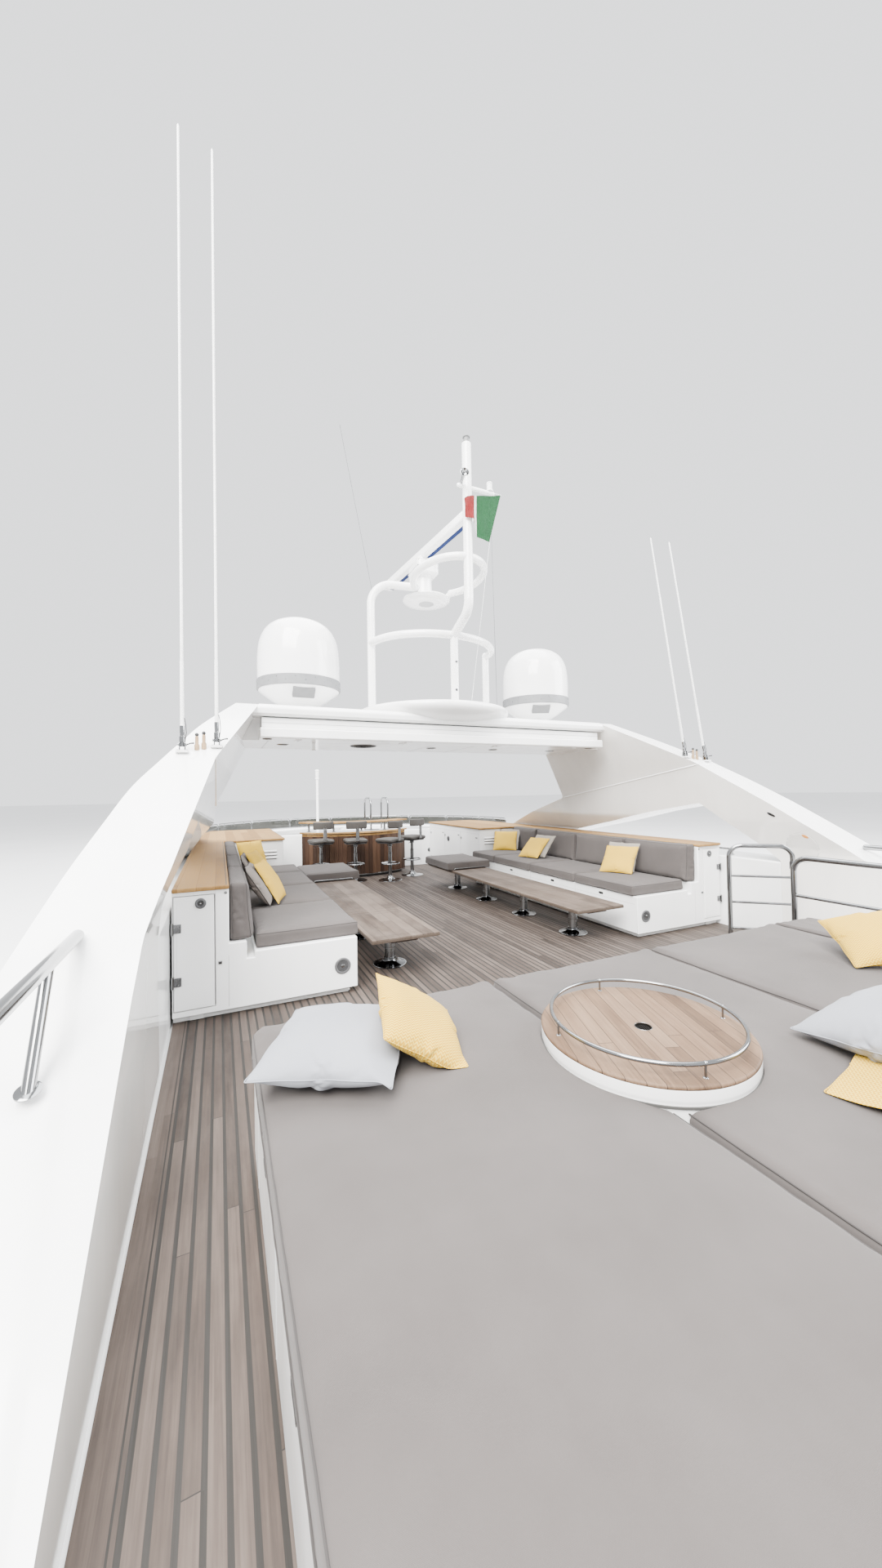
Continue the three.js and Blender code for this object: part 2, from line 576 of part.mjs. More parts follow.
// ---- bar stools: fixed pedestal, swivelling seat. x, y, turn of the seat at rest (degrees)
const STOOLS = [[-812, 3200, 8], [-250, 2985, -4], [310, 2740, 30], [850, 3050, 24]];
STOOLS.forEach(([x, y, turn], i) => {
  const at = V(x, y, 300);
  const foot = ring(at, 160, 11, 5, 14);
  const spokes = [0, 120, 240].map((a) => {
    const t = THREE.MathUtils.degToRad(a + turn);
    return rod(V(x, y, 300), V(x + 160 * Math.cos(t), y + 160 * Math.sin(t), 300), 8, 5);
  });
  put(`stool_${i + 1}_pedestal`, join(
    turned([[0, GAP], [205, GAP], [205, 8], [34, 40], [34, 640], [0, 640]], x, y, 14),
    foot, spokes,
  ), steel());
  const seat = join(
    turned([[0, 643], [60, 643], [70, 668], [0, 668]], 0, 0, 12),
    plate([[-195, -120], [-140, -190], [140, -190], [195, -120], [195, 110], [140, 185], [-140, 185], [-195, 110]], 660, 750),
    plate([...arc(0, 0, 240, 218, 322, 6), ...arc(0, 0, 196, 322, 218, 6)], 930, 1060),
    sideProfile([[-236, 690], [-150, 690], [-150, 730], [-208, 730], [-208, 960], [-236, 960]], -32, 32),
  );
  seat.rotateZ(THREE.MathUtils.degToRad(turn));
  seat.translate(x, y, 0);
  put(`stool_${i + 1}_seat`, seat, finish(0x8d898a, 0.6));
});

// ---- raised spa platform with tub, grab rails, light pole
{
  const edge = insetEdge(500 + GAP).slice(3).filter(([, y]) => y > SPA_AFT);
  const sideX = innerX(SPA_AFT) - 1;
  const plan = [[-sideX, SPA_AFT], [sideX, SPA_AFT], ...edge, [0, HALF_LENGTH - 505], ...edge.map(([x, y]) => [-x, y]).reverse()];
  put('spa_platform', join(cut(
    plate(plan, -TEAK + GAP, SPA_TOP),
    turned([[0, 180], [560, 180], [640, 260], [650, SPA_TOP + 20], [0, SPA_TOP + 20]], 620, 5060, 24),
  ),
  // light pole
  turned([[0, SPA_TOP - 10], [70, SPA_TOP - 10], [70, SPA_TOP + 14], [28, SPA_TOP + 30], [28, 1890],
    [46, 1900], [46, 2100], [0, 2108]], -403, 5765, 10),
  ), gelcoat());
  const hoops = [434, 806].map((x) => tube(rounded([
    V(x, 4330, SPA_TOP + 5), V(x, 4330, 1440), V(x, 4790, 1440), V(x, 4790, SPA_TOP - 330)], 130, 4), 19));
  put('spa_grab_rails', join(
    hoops.map((g) => fromSolid(toSolid(g))),
    box(400, 840, 4290, 4375, SPA_TOP + GAP, SPA_TOP + 9),
  ), steel());
}

// ---- windscreen standing on the forward coaming
{
  const run = [[2960, 3100], [2930, 3700], [2800, 4280], [2500, 4930], [2060, 5480], [1480, 5940], [770, 6240], [0, 6330]];
  const whole = [...run, ...run.slice(0, -1).map(([x, y]) => [-x, y]).reverse()];
  const offset = (d) => whole.map(([x, y], i) => {
    const a = whole[Math.max(i - 1, 0)];
    const b = whole[Math.min(i + 1, whole.length - 1)];
    const l = Math.hypot(b[0] - a[0], b[1] - a[1]);
    return [x - (d * (b[1] - a[1])) / l, y + (d * (b[0] - a[0])) / l];
  });
  put('windscreen_glass', plate([...offset(7), ...offset(-7).reverse()], COAMING_TOP + GAP, 960), glassy());
  const rail = whole.map(([x, y]) => V(x, y, 983));
  put('windscreen_rail', tube(rail, 22), steel());
}

// ---- sun pad and the round table set into it
{
  const well = (z0) => turned([[0, z0], [ROUND_R + 3, z0], [ROUND_R + 3, 900], [0, 900]], ROUND_X, ROUND_Y, 32);
  put('sunpad_base', cut(join(
    plate([[PAD_LEFT + 60, PAD_AFT + 60], [PAD_RIGHT - 60, PAD_AFT + 60], [PAD_RIGHT - 60, PAD_FWD - 60],
      [PAD_LEFT + 60, PAD_FWD - 60]], GAP, 90),
    plate([[PAD_LEFT + 20, PAD_AFT + 20], [PAD_RIGHT - 20, PAD_AFT + 20], [PAD_RIGHT - 20, PAD_FWD - 120],
      [PAD_RIGHT - 120, PAD_FWD - 20], [PAD_LEFT + 20, PAD_FWD - 20]], 80, PAD_BASE_TOP),
  ), well(-50)), gelcoat());
  put('sunpad_cushions', cut(
    plate([[PAD_LEFT, PAD_AFT], [PAD_RIGHT, PAD_AFT], [PAD_RIGHT, PAD_FWD - 120], [PAD_RIGHT - 35, PAD_FWD - 35],
      [PAD_RIGHT - 120, PAD_FWD], [PAD_LEFT, PAD_FWD]], PAD_BASE_TOP + GAP, PAD_TOP),
    well(300),
  ), cloth());
  put('round_table', join(
    turned([[0, GAP], [ROUND_R - 6, GAP], [ROUND_R - 6, 560], [ROUND_R, 575], [ROUND_R, ROUND_TOP - 6],
      [ROUND_R - 6, ROUND_TOP], [0, ROUND_TOP]], ROUND_X, ROUND_Y, 32),
    ring(V(ROUND_X, ROUND_Y, 666), 350, 8, 5, 24),
    [75, 165, 255, 345].map((a) => {
      const t = THREE.MathUtils.degToRad(a);
      const x = ROUND_X + 350 * Math.cos(t);
      const y = ROUND_Y + 350 * Math.sin(t);
      return rod(V(x, y, ROUND_TOP - 10), V(x, y, 666), 6, 5);
    }),
  ), teakPale());
}

// ---- guard rail round the aft deck
{
  const top = rounded([V(-RAIL_X, -3066, RAIL_Z), V(-RAIL_X, -6330, RAIL_Z), V(RAIL_X, -6330, RAIL_Z), V(RAIL_X, -3066, RAIL_Z)], 320, 4);
  const low = (z, y0) => rounded([V(-RAIL_X, y0, z), V(-RAIL_X, -6330, z), V(RAIL_X, -6330, z), V(RAIL_X, y0, z)], 320, 3);
  const posts = [];
  for (const s of [-1, 1]) {
    posts.push(rod(V(s * RAIL_X, -3645, 641), V(s * RAIL_X, -3440, RAIL_Z), 19, 6));
    for (const y of [-4700, -5350, -5980]) posts.push(rod(V(s * RAIL_X, y, 120 + GAP), V(s * RAIL_X, y, RAIL_Z), 19, 6));
  }
  for (const x of [-2300, -1380, -460, 460, 1380, 2300]) posts.push(rod(V(x, -6330, GAP), V(x, -6330, RAIL_Z), 19, 6));
  put('guard_rail', join(tube(top, 25), tube(low(690, -4700), 12, 5), tube(low(400, -4700), 12, 5), posts), steel());
}
// ---- rail beside the stair opening and its swinging gate
{
  const x = 1690;
  put('stair_rail', join(
    tube(rounded([V(x, -3180, GAP), V(x, -3180, 990), V(x, -5480, 990), V(x, -5480, GAP)], 110, 4), 21),
    rod(V(x, -3180, 690), V(x, -5480, 690), 13, 6),
    rod(V(x, -3180, 380), V(x, -5480, 380), 13, 6),
    rod(V(x, -4330, GAP), V(x, -4330, 990), 19, 8),
  ), steel());
  const a = V(2412, -2760, 0);
  const b = V(2030, -2403, 0);
  const at = (p, z) => V(p.x, p.y, z);
  put('stair_gate', join(
    tube(rounded([at(a, 8), at(a, 990), at(b, 990), at(b, 8)], 110, 4), 21),
    [700, 450, 200].map((z) => rod(at(a, z), at(b, z), 12, 6)),
  ), steel());
}

// ---- loose pillows: w, h, thickness, position, turn (degrees)
{
  // space taken by the seat and back cushions (side -1 port, 1 starboard) and by the sun pad
  const sofaSpace = (side) => [
    box(-2600, 2600, -2000, 2200, 300, SEAT_TOP + 1),
    box(-2600, 2600, UNIT_FWD - 2, 2400, 300, 1400),
    crossProfile([[2600, 500], [2600, 960], [2272, 960], [2250, 902], [2218.5, 560], [2218.5, 500]]
      .map(([x, z]) => [side * x, z]), -2000, 2200),
  ];
  const padSpace = box(-2600, 2600, -5600, -3000, 300, PAD_TOP + 1.5);
  put('port_sofa_pillows_1', cut(join(
    pillow(410, 410, 115, [-2118, -770, 740], [57.5, 0, 80]),
    pillow(420, 420, 100, [-2012, -690, 742], [60, 0, 74]),
  ), sofaSpace(-1)), yellow());
  put('port_sofa_pillows_2', cut(join(
    pillow(380, 380, 100, [-2142, 160, 742], [60, 0, 80]),
    pillow(400, 400, 100, [-2040, 240, 742], [62, 0, 70]),
  ), sofaSpace(-1)), yellow());
  put('port_sofa_pillows_3', cut(pillow(400, 400, 110, [-2044, 1500, 738], [66, 0, 34]), sofaSpace(-1)), yellow());
  put('starboard_sofa_pillows_1', cut(join(
    pillow(392, 392, 105, [1985, 1575, 702], [50, 0, -38.6]),
    pillow(380, 380, 90, [2075, 1612, 724], [60, 0, -50]),
  ), sofaSpace(1)), yellow());
  put('starboard_sofa_pillows_2', cut(join(
    pillow(388, 388, 105, [1834, 529, 697], [43, -1.6, -79]),
    pillow(385, 385, 90, [1935, 500, 722], [50, 0, -80]),
  ), sofaSpace(1)), yellow());
  put('starboard_sofa_pillows_3', cut(join(
    pillow(392, 392, 105, [1945, -1062, 704], [48, -1, -66]),
    pillow(385, 385, 90, [2030, -1015, 724], [57, 0, -68]),
  ), sofaSpace(1)), yellow());
  put('port_sunpad_pillows', cut(join(
    pillow(490, 520, 165, [-2052, -3738, 645], [0, 0, -26]),
    pillow(376, 376, 145, [-1762, -3796, 660], [17.5, 33.6, -3]),
  ), padSpace), pale());
  put('starboard_sunpad_pillows', cut(join(
    pillow(540, 540, 165, [-185, -4645, 690], [-10, -11, -8]),
    pillow(470, 470, 90, [-425, -4795, 606], [0, 0, 9.5]),
  ), padSpace), pale());
  put('forward_sunpad_pillow', cut(pillow(440, 440, 130, [933, -4064, 696], [19.8, -13.5, -44.6]), padSpace), yellow());
}

export default yacht;
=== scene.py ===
import math
import random

import bmesh
import bpy
from mathutils import Matrix, Vector, noise


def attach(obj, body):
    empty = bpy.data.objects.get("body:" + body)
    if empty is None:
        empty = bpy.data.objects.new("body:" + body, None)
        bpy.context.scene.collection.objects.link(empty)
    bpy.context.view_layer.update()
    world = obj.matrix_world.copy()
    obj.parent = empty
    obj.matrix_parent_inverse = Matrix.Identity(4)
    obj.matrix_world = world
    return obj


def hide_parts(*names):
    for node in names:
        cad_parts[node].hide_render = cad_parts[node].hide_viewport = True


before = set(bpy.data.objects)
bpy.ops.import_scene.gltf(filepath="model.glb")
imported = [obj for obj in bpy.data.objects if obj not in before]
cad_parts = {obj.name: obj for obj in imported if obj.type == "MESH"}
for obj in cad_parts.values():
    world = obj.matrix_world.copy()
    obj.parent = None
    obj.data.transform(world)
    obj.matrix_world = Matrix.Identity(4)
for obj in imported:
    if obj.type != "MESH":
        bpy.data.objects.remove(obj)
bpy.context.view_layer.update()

COL = bpy.context.scene.collection
DECK = "sun_deck"
FLOOR = 0.4                                   # walking surface above the origin, metres
MM = Matrix.Translation((0, 0, FLOOR)) @ Matrix.Scale(0.001, 4)   # millimetres above the deck to metres

# ------------------------------------------------------------------ camera
cam = bpy.data.cameras.new("camera")
cam.lens = 11.19
cam.sensor_width = 36.0
cam.clip_start = 0.05
cam.clip_end = 400
eye = bpy.data.objects.new("camera", cam)
COL.objects.link(eye)
right = Vector((0.90991, -0.41451, -0.01580))
up = Vector((0.00764, -0.02134, 0.99974))
ahead = Vector((0.41474, 0.90979, 0.01625))
eye.matrix_world = Matrix((
    (right.x, up.x, -ahead.x, -2.449),
    (right.y, up.y, -ahead.y, -5.55),
    (right.z, up.z, -ahead.z, 1.95),
    (0, 0, 0, 1)))
bpy.context.scene.camera = eye


# ------------------------------------------------------------------ materials
class Look:
    """One node material: small helpers round a Principled shader."""

    def __init__(self, name, color=(0.8, 0.8, 0.8), rough=0.5, metal=0.0):
        self.mat = bpy.data.materials.new(name)
        self.mat.use_nodes = True
        self.nt = self.mat.node_tree
        self.nt.nodes.clear()
        out = self.nt.nodes.new("ShaderNodeOutputMaterial")
        self.bsdf = self.nt.nodes.new("ShaderNodeBsdfPrincipled")
        self.nt.links.new(self.bsdf.outputs[0], out.inputs[0])
        self.set("Base Color", (*color, 1))
        self.set("Roughness", rough)
        self.set("Metallic", metal)
        self.co = self.nt.nodes.new("ShaderNodeTexCoord").outputs["Object"]
        self.mat.diffuse_color = (*color, 1)

    def set(self, name, value):
        if isinstance(value, bpy.types.NodeSocket):
            self.nt.links.new(value, self.bsdf.inputs[name])
        else:
            self.bsdf.inputs[name].default_value = value

    def node(self, kind, inputs=None, **props):
        n = self.nt.nodes.new("ShaderNode" + kind)
        for k, v in props.items():
            setattr(n, k, v)
        for k, v in (inputs or {}).items():
            if isinstance(v, bpy.types.NodeSocket):
                self.nt.links.new(v, n.inputs[k])
            else:
                n.inputs[k].default_value = v
        return n

    def math(self, op, a, b=0.0, c=0.0):
        n = self.node("Math", {0: a, 1: b, 2: c}, operation=op)
        return n.outputs[0]

    def scaled(self, s, vec=None, rot=(0, 0, 0)):
        return self.node("Mapping", {"Vector": vec or self.co, "Scale": s, "Rotation": rot}).outputs[0]

    def noise(self, scale, vec=None, detail=3.0, rough=0.5, distortion=0.0):
        return self.node("TexNoise", {"Vector": vec or self.co, "Scale": scale, "Detail": detail,
                                      "Roughness": rough, "Distortion": distortion}).outputs["Fac"]

    def ramp(self, fac, stops, interpolation="LINEAR"):
        n = self.node("ValToRGB", {"Fac": fac})
        r = n.color_ramp
        r.interpolation = interpolation
        while len(r.elements) < len(stops):
            r.elements.new(0.5)
        for e, (p, c) in zip(r.elements, stops):
            e.position = p
            e.color = (*c, 1) if len(c) == 3 else c
        return n.outputs["Color"]

    def level(self, fac, lo, hi, to_lo=0.0, to_hi=1.0):
        return self.node("MapRange", {"Value": fac, "From Min": lo, "From Max": hi,
                                      "To Min": to_lo, "To Max": to_hi}).outputs[0]

    def mix(self, fac, a, b, blend="MIX"):
        n = self.node("Mix", data_type="RGBA", blend_type=blend)
        for key, v in ((0, fac), (6, a), (7, b)):
            if isinstance(v, bpy.types.NodeSocket):
                self.nt.links.new(v, n.inputs[key])
            elif key == 0:
                n.inputs[0].default_value = v
            else:
                n.inputs[key].default_value = (*v, 1) if len(v) == 3 else v
        return n.outputs[2]

    def xyz(self, vec=None):
        n = self.node("SeparateXYZ", {0: vec or self.co})
        return n.outputs[0], n.outputs[1], n.outputs[2]

    def join(self, x, y, z):
        return self.node("CombineXYZ", {0: x, 1: y, 2: z}).outputs[0]

    def bump(self, height, strength=0.5, distance=0.001, chain=None):
        n = self.node("Bump", {"Height": height, "Strength": strength, "Distance": distance})
        if chain is not None:
            self.nt.links.new(chain, n.inputs["Normal"])
        self.set("Normal", n.outputs[0])
        return n.outputs[0]


def gelcoat(name, a=(0.80, 0.80, 0.79), b=(0.86, 0.86, 0.855), rough=(0.12, 0.24), coat=0.35):
    k = Look(name, b)
    soft = k.noise(0.9, detail=4)
    streak = k.noise(3.0, k.scaled((1, 1, 0.25)), detail=6, rough=0.6)
    fac = k.math("MULTIPLY", soft, streak)
    k.set("Base Color", k.mix(k.level(fac, 0.12, 0.36), a, b))
    k.set("Roughness", k.level(k.noise(2.2, detail=5), 0.3, 0.7, rough[0], rough[1]))
    k.set("Coat Weight", coat)
    k.set("Coat Roughness", 0.05)
    k.bump(k.noise(38.0, detail=2), 0.06, 0.0006)
    return k.mat


def teak(name, dark, mid, light, pitch=0.053, seam=0.0026, seam_color=(0.02, 0.018, 0.016), rough=(0.5, 0.75),
         along="y", margin=None, wear=0.6, grain=1.0, board=2.1, coat=0.0, seam_depth=0.5):
    """Planks along one axis, with seams, butt joints, one tone for each board, grain and wear."""
    k = Look(name, mid)
    x, y, z = k.xyz()
    a, b = (x, y) if along == "y" else (y, x)
    if along == "z":
        a, b = x, z
    u = k.math("DIVIDE", a, pitch)
    cell = k.math("FLOOR", u)
    edge = k.math("ABSOLUTE", k.math("SUBTRACT", k.math("FRACT", u), 0.5))          # 0.5 at a seam
    line = k.math("GREATER_THAN", edge, 0.5 - seam / pitch)
    shift = k.node("TexWhiteNoise", {"W": cell}, noise_dimensions="1D").outputs["Value"]
    v = k.math("ADD", k.math("DIVIDE", b, board), k.math("MULTIPLY", shift, 7.0))
    butt_cell = k.math("FLOOR", v)
    butt = k.math("LESS_THAN", k.math("FRACT", v), 0.0028 / board)
    tone = k.node("TexWhiteNoise", {"Vector": k.join(cell, butt_cell, 0.0)}, noise_dimensions="3D").outputs["Value"]
    lines = k.math("MAXIMUM", line, butt)
    if margin is not None:                     # a board along each side of the deck
        side = k.math("SUBTRACT", margin[0], k.math("ABSOLUTE", x))
        inside = k.math("LESS_THAN", side, margin[1])
        lines = k.math("MULTIPLY", lines, k.math("SUBTRACT", 1.0, inside))
        rim = k.math("LESS_THAN", k.math("ABSOLUTE", k.math("SUBTRACT", side, margin[1])), 0.0028)
        lines = k.math("MAXIMUM", lines, rim)
    stretch = (90, 3.2, 40) if along == "y" else ((3.2, 90, 40) if along == "x" else (90, 40, 3.2))
    offset = k.node("VectorMath", {0: k.scaled(stretch), 1: k.join(0.0, k.math("MULTIPLY", tone, 40.0), tone)},
                    operation="ADD").outputs[0]
    fibre = k.noise(grain, offset, detail=7, rough=0.62, distortion=0.4)
    broad = k.noise(1.6, detail=5, rough=0.6)
    patch = k.noise(7.0, k.scaled((1, 0.35, 1) if along == "y" else (0.35, 1, 1)), detail=6, rough=0.65)
    base = k.ramp(k.math("ADD", k.math("MULTIPLY", fibre, 0.62), k.math("MULTIPLY", tone, 0.30)),
                  [(0.22, dark), (0.48, mid), (0.78, light)])
    worn = k.mix(k.math("MULTIPLY", k.level(patch, 0.35, 0.7), wear * 0.5), base, light)
    worn = k.mix(k.math("MULTIPLY", k.level(broad, 0.55, 0.3), wear * 0.5), worn, dark)
    k.set("Base Color", k.mix(lines, worn, seam_color))
    k.set("Roughness", k.level(fibre, 0.3, 0.7, rough[0], rough[1]))
    k.set("Specular IOR Level", 0.22)
    if coat:
        k.set("Coat Weight", coat)
        k.set("Coat Roughness", 0.12)
    n1 = k.bump(fibre, 0.35, 0.0006)
    k.bump(k.math("SUBTRACT", 1.0, lines), seam_depth, 0.0012, n1)
    return k.mat


def steel(name="stainless", color=(0.72, 0.73, 0.74), rough=(0.07, 0.17)):
    k = Look(name, color, metal=1.0)
    k.set("Base Color", k.mix(k.level(k.noise(5.0, detail=4), 0.3, 0.7), color, tuple(c * 0.88 for c in color)))
    k.set("Roughness", k.level(k.noise(9.0, detail=5), 0.3, 0.7, rough[0], rough[1]))
    k.bump(k.noise(260.0, k.scaled((1, 1, 0.15)), detail=2), 0.05, 0.0002)
    return k.mat


def fabric(name, color, shade, weave=0.0022, strength=0.35, rough=0.85, sheen=0.25, twist=0.0):
    """Plain woven cloth: two crossed thread waves, soft tone changes and fluff."""
    k = Look(name, color)
    rot = (0, 0, twist)
    n = 2 * math.pi / weave
    vx, vy, vz = k.xyz(k.scaled((1, 1, 1), rot=rot))
    wx = k.math("SINE", k.math("MULTIPLY", k.math("ADD", vx, k.math("MULTIPLY", vz, 0.7)), n))
    wy = k.math("SINE", k.math("MULTIPLY", k.math("ADD", vy, k.math("MULTIPLY", vz, 0.7)), n))
    thread = k.math("MULTIPLY", wx, wy)
    fine = k.noise(420.0, detail=2)
    cloud = k.noise(2.6, detail=5, rough=0.6)
    fac = k.math("ADD", k.math("MULTIPLY", thread, 0.10), k.math("MULTIPLY", cloud, 0.9))
    fac = k.math("ADD", fac, k.math("MULTIPLY", k.math("SUBTRACT", fine, 0.5), 0.35))
    k.set("Base Color", k.mix(k.level(fac, 0.2, 0.7), shade, color))
    k.set("Roughness", k.level(fine, 0.3, 0.7, rough - 0.06, rough + 0.08))
    k.set("Specular IOR Level", 0.18)
    k.set("Sheen Weight", sheen * 0.3)
    k.set("Sheen Roughness", 0.5)
    k.bump(k.math("ADD", thread, k.math("MULTIPLY", fine, 0.8)), strength, 0.0005)
    return k.mat


def waffle(name, yellow=(0.45, 0.245, 0.006), cream=(0.58, 0.42, 0.070)):
    """Woven zigzag in two tones, in the pillow's own directions."""
    k = Look(name, yellow)
    x, y, z = k.xyz()
    step = 0.017
    u = k.math("DIVIDE", x, step)
    v = k.math("DIVIDE", y, step * 0.62)
    zig = k.math("ABSOLUTE", k.math("SUBTRACT", k.math("FRACT", u), 0.5))
    row = k.math("FRACT", k.math("ADD", v, k.math("MULTIPLY", zig, 1.6)))
    band = k.math("ABSOLUTE", k.math("SUBTRACT", row, 0.5))
    fuzz = k.noise(160.0, detail=3)
    band = k.math("ADD", band, k.math("MULTIPLY", k.math("SUBTRACT", fuzz, 0.5), 0.10))
    mask = k.level(band, 0.20, 0.34)
    tone = k.noise(3.0, detail=4)
    deep = k.mix(k.level(tone, 0.3, 0.7), tuple(c * 0.80 for c in yellow), yellow)
    k.set("Base Color", k.mix(k.math("MULTIPLY", mask, 0.8), deep, cream))
    k.set("Roughness", k.level(fuzz, 0.3, 0.7, 0.78, 0.95))
    k.set("Specular IOR Level", 0.15)
    k.set("Sheen Weight", 0.06)
    k.bump(k.math("ADD", mask, k.math("MULTIPLY", fuzz, 0.4)), 0.45, 0.0015)
    return k.mat


def plastic(name, color, rough=0.45, speck=0.0, coat=0.0, gloss=0.5):
    k = Look(name, color)
    n = k.noise(14.0, detail=5)
    k.set("Base Color", k.mix(k.level(n, 0.3, 0.7), color, tuple(min(1, c * (0.86 - speck)) for c in color)))
    k.set("Roughness", k.level(k.noise(30.0, detail=3), 0.3, 0.7, max(rough - 0.06, 0.03), rough + 0.08))
    k.set("Specular IOR Level", gloss)
    if coat:
        k.set("Coat Weight", coat)
    k.bump(k.noise(220.0, detail=2), 0.12, 0.0003)
    return k.mat


def smoked_glass(name):
    k = Look(name, (0.05, 0.05, 0.045), 0.04)
    k.set("Base Color", k.mix(k.level(k.noise(3.0, detail=4), 0.3, 0.7), (0.030, 0.031, 0.027), (0.048, 0.049, 0.043)))
    k.set("Roughness", k.level(k.noise(7.0, detail=4), 0.3, 0.7, 0.02, 0.07))
    k.set("Transmission Weight", 0.25)
    k.set("IOR", 1.45)
    k.set("Alpha", 0.97)
    return k.mat


def bar_wood(name):
    """Upright planks round the bar, one tone each, told apart by their angle."""
    k = Look(name, (0.19, 0.11, 0.075))
    x, y, z = k.xyz()
    ang = k.math("ARCTAN2", x, k.math("SUBTRACT", 4.735, y))
    cell = k.math("FLOOR", k.math("DIVIDE", ang, PLANK_ANGLE))
    tone = k.node("TexWhiteNoise", {"W": cell}, noise_dimensions="1D").outputs["Value"]
    vec = k.join(k.math("MULTIPLY", ang, 130.0), k.math("MULTIPLY", tone, 9.0), k.math("MULTIPLY", z, 3.0))
    fibre = k.noise(1.0, vec, detail=7, rough=0.65, distortion=0.5)
    fac = k.math("ADD", k.math("MULTIPLY", fibre, 0.6), k.math("MULTIPLY", tone, 0.36))
    k.set("Base Color", k.ramp(fac, [(0.2, (0.012, 0.0055, 0.0031)), (0.5, (0.040, 0.0195, 0.0108)), (0.8, (0.078, 0.042, 0.0235))]))
    k.set("Roughness", k.level(fibre, 0.3, 0.7, 0.36, 0.56))
    k.set("Specular IOR Level", 0.25)
    k.bump(fibre, 0.3, 0.0005)
    return k.mat


def flag_cloth(name):
    k = Look(name, (0.05, 0.35, 0.14))
    x, y, z = k.xyz()
    wob = k.math("MULTIPLY", k.noise(9.0), 0.012)
    e = k.math("ADD", x, wob)
    red = k.math("LESS_THAN", e, 0.060)
    white = k.math("LESS_THAN", e, 0.086)
    c = k.mix(white, (0.004, 0.085, 0.022), (0.66, 0.66, 0.64))
    c = k.mix(red, c, (0.26, 0.006, 0.009))
    shade = k.level(k.noise(16.0, detail=4), 0.3, 0.7)
    k.set("Base Color", k.mix(k.math("MULTIPLY", shade, 0.22), c, (0.02, 0.05, 0.03)))
    k.set("Roughness", k.level(k.noise(60.0), 0.3, 0.7, 0.7, 0.9))
    w = k.math("MULTIPLY", k.math("SINE", k.math("MULTIPLY", x, 2600.0)), k.math("SINE", k.math("MULTIPLY", z, 2600.0)))
    k.bump(w, 0.3, 0.0004)
    return k.mat


PLANK_ANGLE = math.radians(3.15)
GEL = gelcoat("gelcoat_white")
# warmer white; on the arch legs' inner faces it is a painted reflection of the teak
GEL_WARM = gelcoat("gelcoat_inner", (0.74, 0.715, 0.675), (0.84, 0.815, 0.775), (0.05, 0.12), 0.6)
GEL_SHADE_WARM = gelcoat("gelcoat_hatch", (0.62, 0.60, 0.565), (0.70, 0.68, 0.645), (0.16, 0.28), 0.3)
GEL_SHADE = gelcoat("gelcoat_grey", (0.33, 0.335, 0.34), (0.39, 0.395, 0.40), (0.25, 0.4), 0.1)
DECK_TEAK = teak("deck_teak_grey", (0.013, 0.0090, 0.0070), (0.058, 0.0425, 0.0345), (0.120, 0.096, 0.081), seam=0.0070, margin=(2.745, 0.075), seam_depth=0.8)
HONEY = teak("teak_honey", (0.150, 0.075, 0.018), (0.250, 0.138, 0.043), (0.340, 0.205, 0.078), pitch=0.118, seam=0.0009,
             seam_color=(0.09, 0.036, 0.010), rough=(0.48, 0.62), wear=0.25, seam_depth=0.1)
TABLE = teak("teak_bare", (0.026, 0.0170, 0.0120), (0.080, 0.0575, 0.0440), (0.150, 0.120, 0.099), pitch=0.1, seam=0.0014,
             seam_color=(0.020, 0.0145, 0.0115), rough=(0.5, 0.72), wear=1.1, seam_depth=0.15)
ROUND = teak("teak_round", (0.036, 0.0185, 0.0095), (0.110, 0.0650, 0.0375), (0.195, 0.132, 0.086), pitch=0.056, seam=0.0012,
             seam_color=(0.028, 0.0165, 0.0105), rough=(0.5, 0.7), wear=0.55, seam_depth=0.3)
BAR = bar_wood("bar_planks")
STEEL = steel(color=(0.25, 0.254, 0.258))
SATIN = steel("stainless_satin", (0.15, 0.153, 0.157), (0.22, 0.34))
GREY = fabric("cushion_grey", (0.084, 0.0735, 0.0695), (0.061, 0.0535, 0.0505))
# the welts are darker than the cushion cloth: painted shade along the seams
WELT_SHADE = fabric("cushion_seam_shade", (0.046, 0.041, 0.039), (0.034, 0.031, 0.030), weave=0.003)
YELLOW = waffle("pillow_waffle")
PALE = fabric("pillow_linen", (0.262, 0.271, 0.297), (0.220, 0.229, 0.254), weave=0.0026, strength=0.5, sheen=0.35)
TAUPE = fabric("pillow_grey", (0.175, 0.152, 0.136), (0.128, 0.111, 0.099), weave=0.003, strength=0.5)
PIPING = fabric("pillow_piping", (0.030, 0.026, 0.024), (0.020, 0.0175, 0.016), weave=0.002)
RECESS = plastic("grip_recess", (0.006, 0.0055, 0.005), 0.8, gloss=0.06)
TAN = plastic("tan_fitting", (0.30, 0.20, 0.11), 0.5)
VINYL = plastic("stool_upholstery", (0.034, 0.0295, 0.0255), 0.62)
# near black; in pull slots, vents, plank gaps, the bar's toe space and the sink drain it is painted shade
DARK = plastic("dark_plastic_and_shade", (0.014, 0.014, 0.0145), 0.5)
GRILLE = plastic("speaker_grey", (0.082, 0.082, 0.085), 0.5)
BAND = plastic("radome_band", (0.175, 0.179, 0.184), 0.5)
HATCH = plastic("radome_hatch", (0.150, 0.152, 0.155), 0.5)
WHIP = plastic("antenna_fibre", (0.80, 0.80, 0.79), 0.35, coat=0.2)
BLUE = plastic("scanner_stripe", (0.001, 0.012, 0.075), 0.6, gloss=0.15)
GLASS = smoked_glass("smoked_glass")
FLAG = flag_cloth("ensign_cloth")
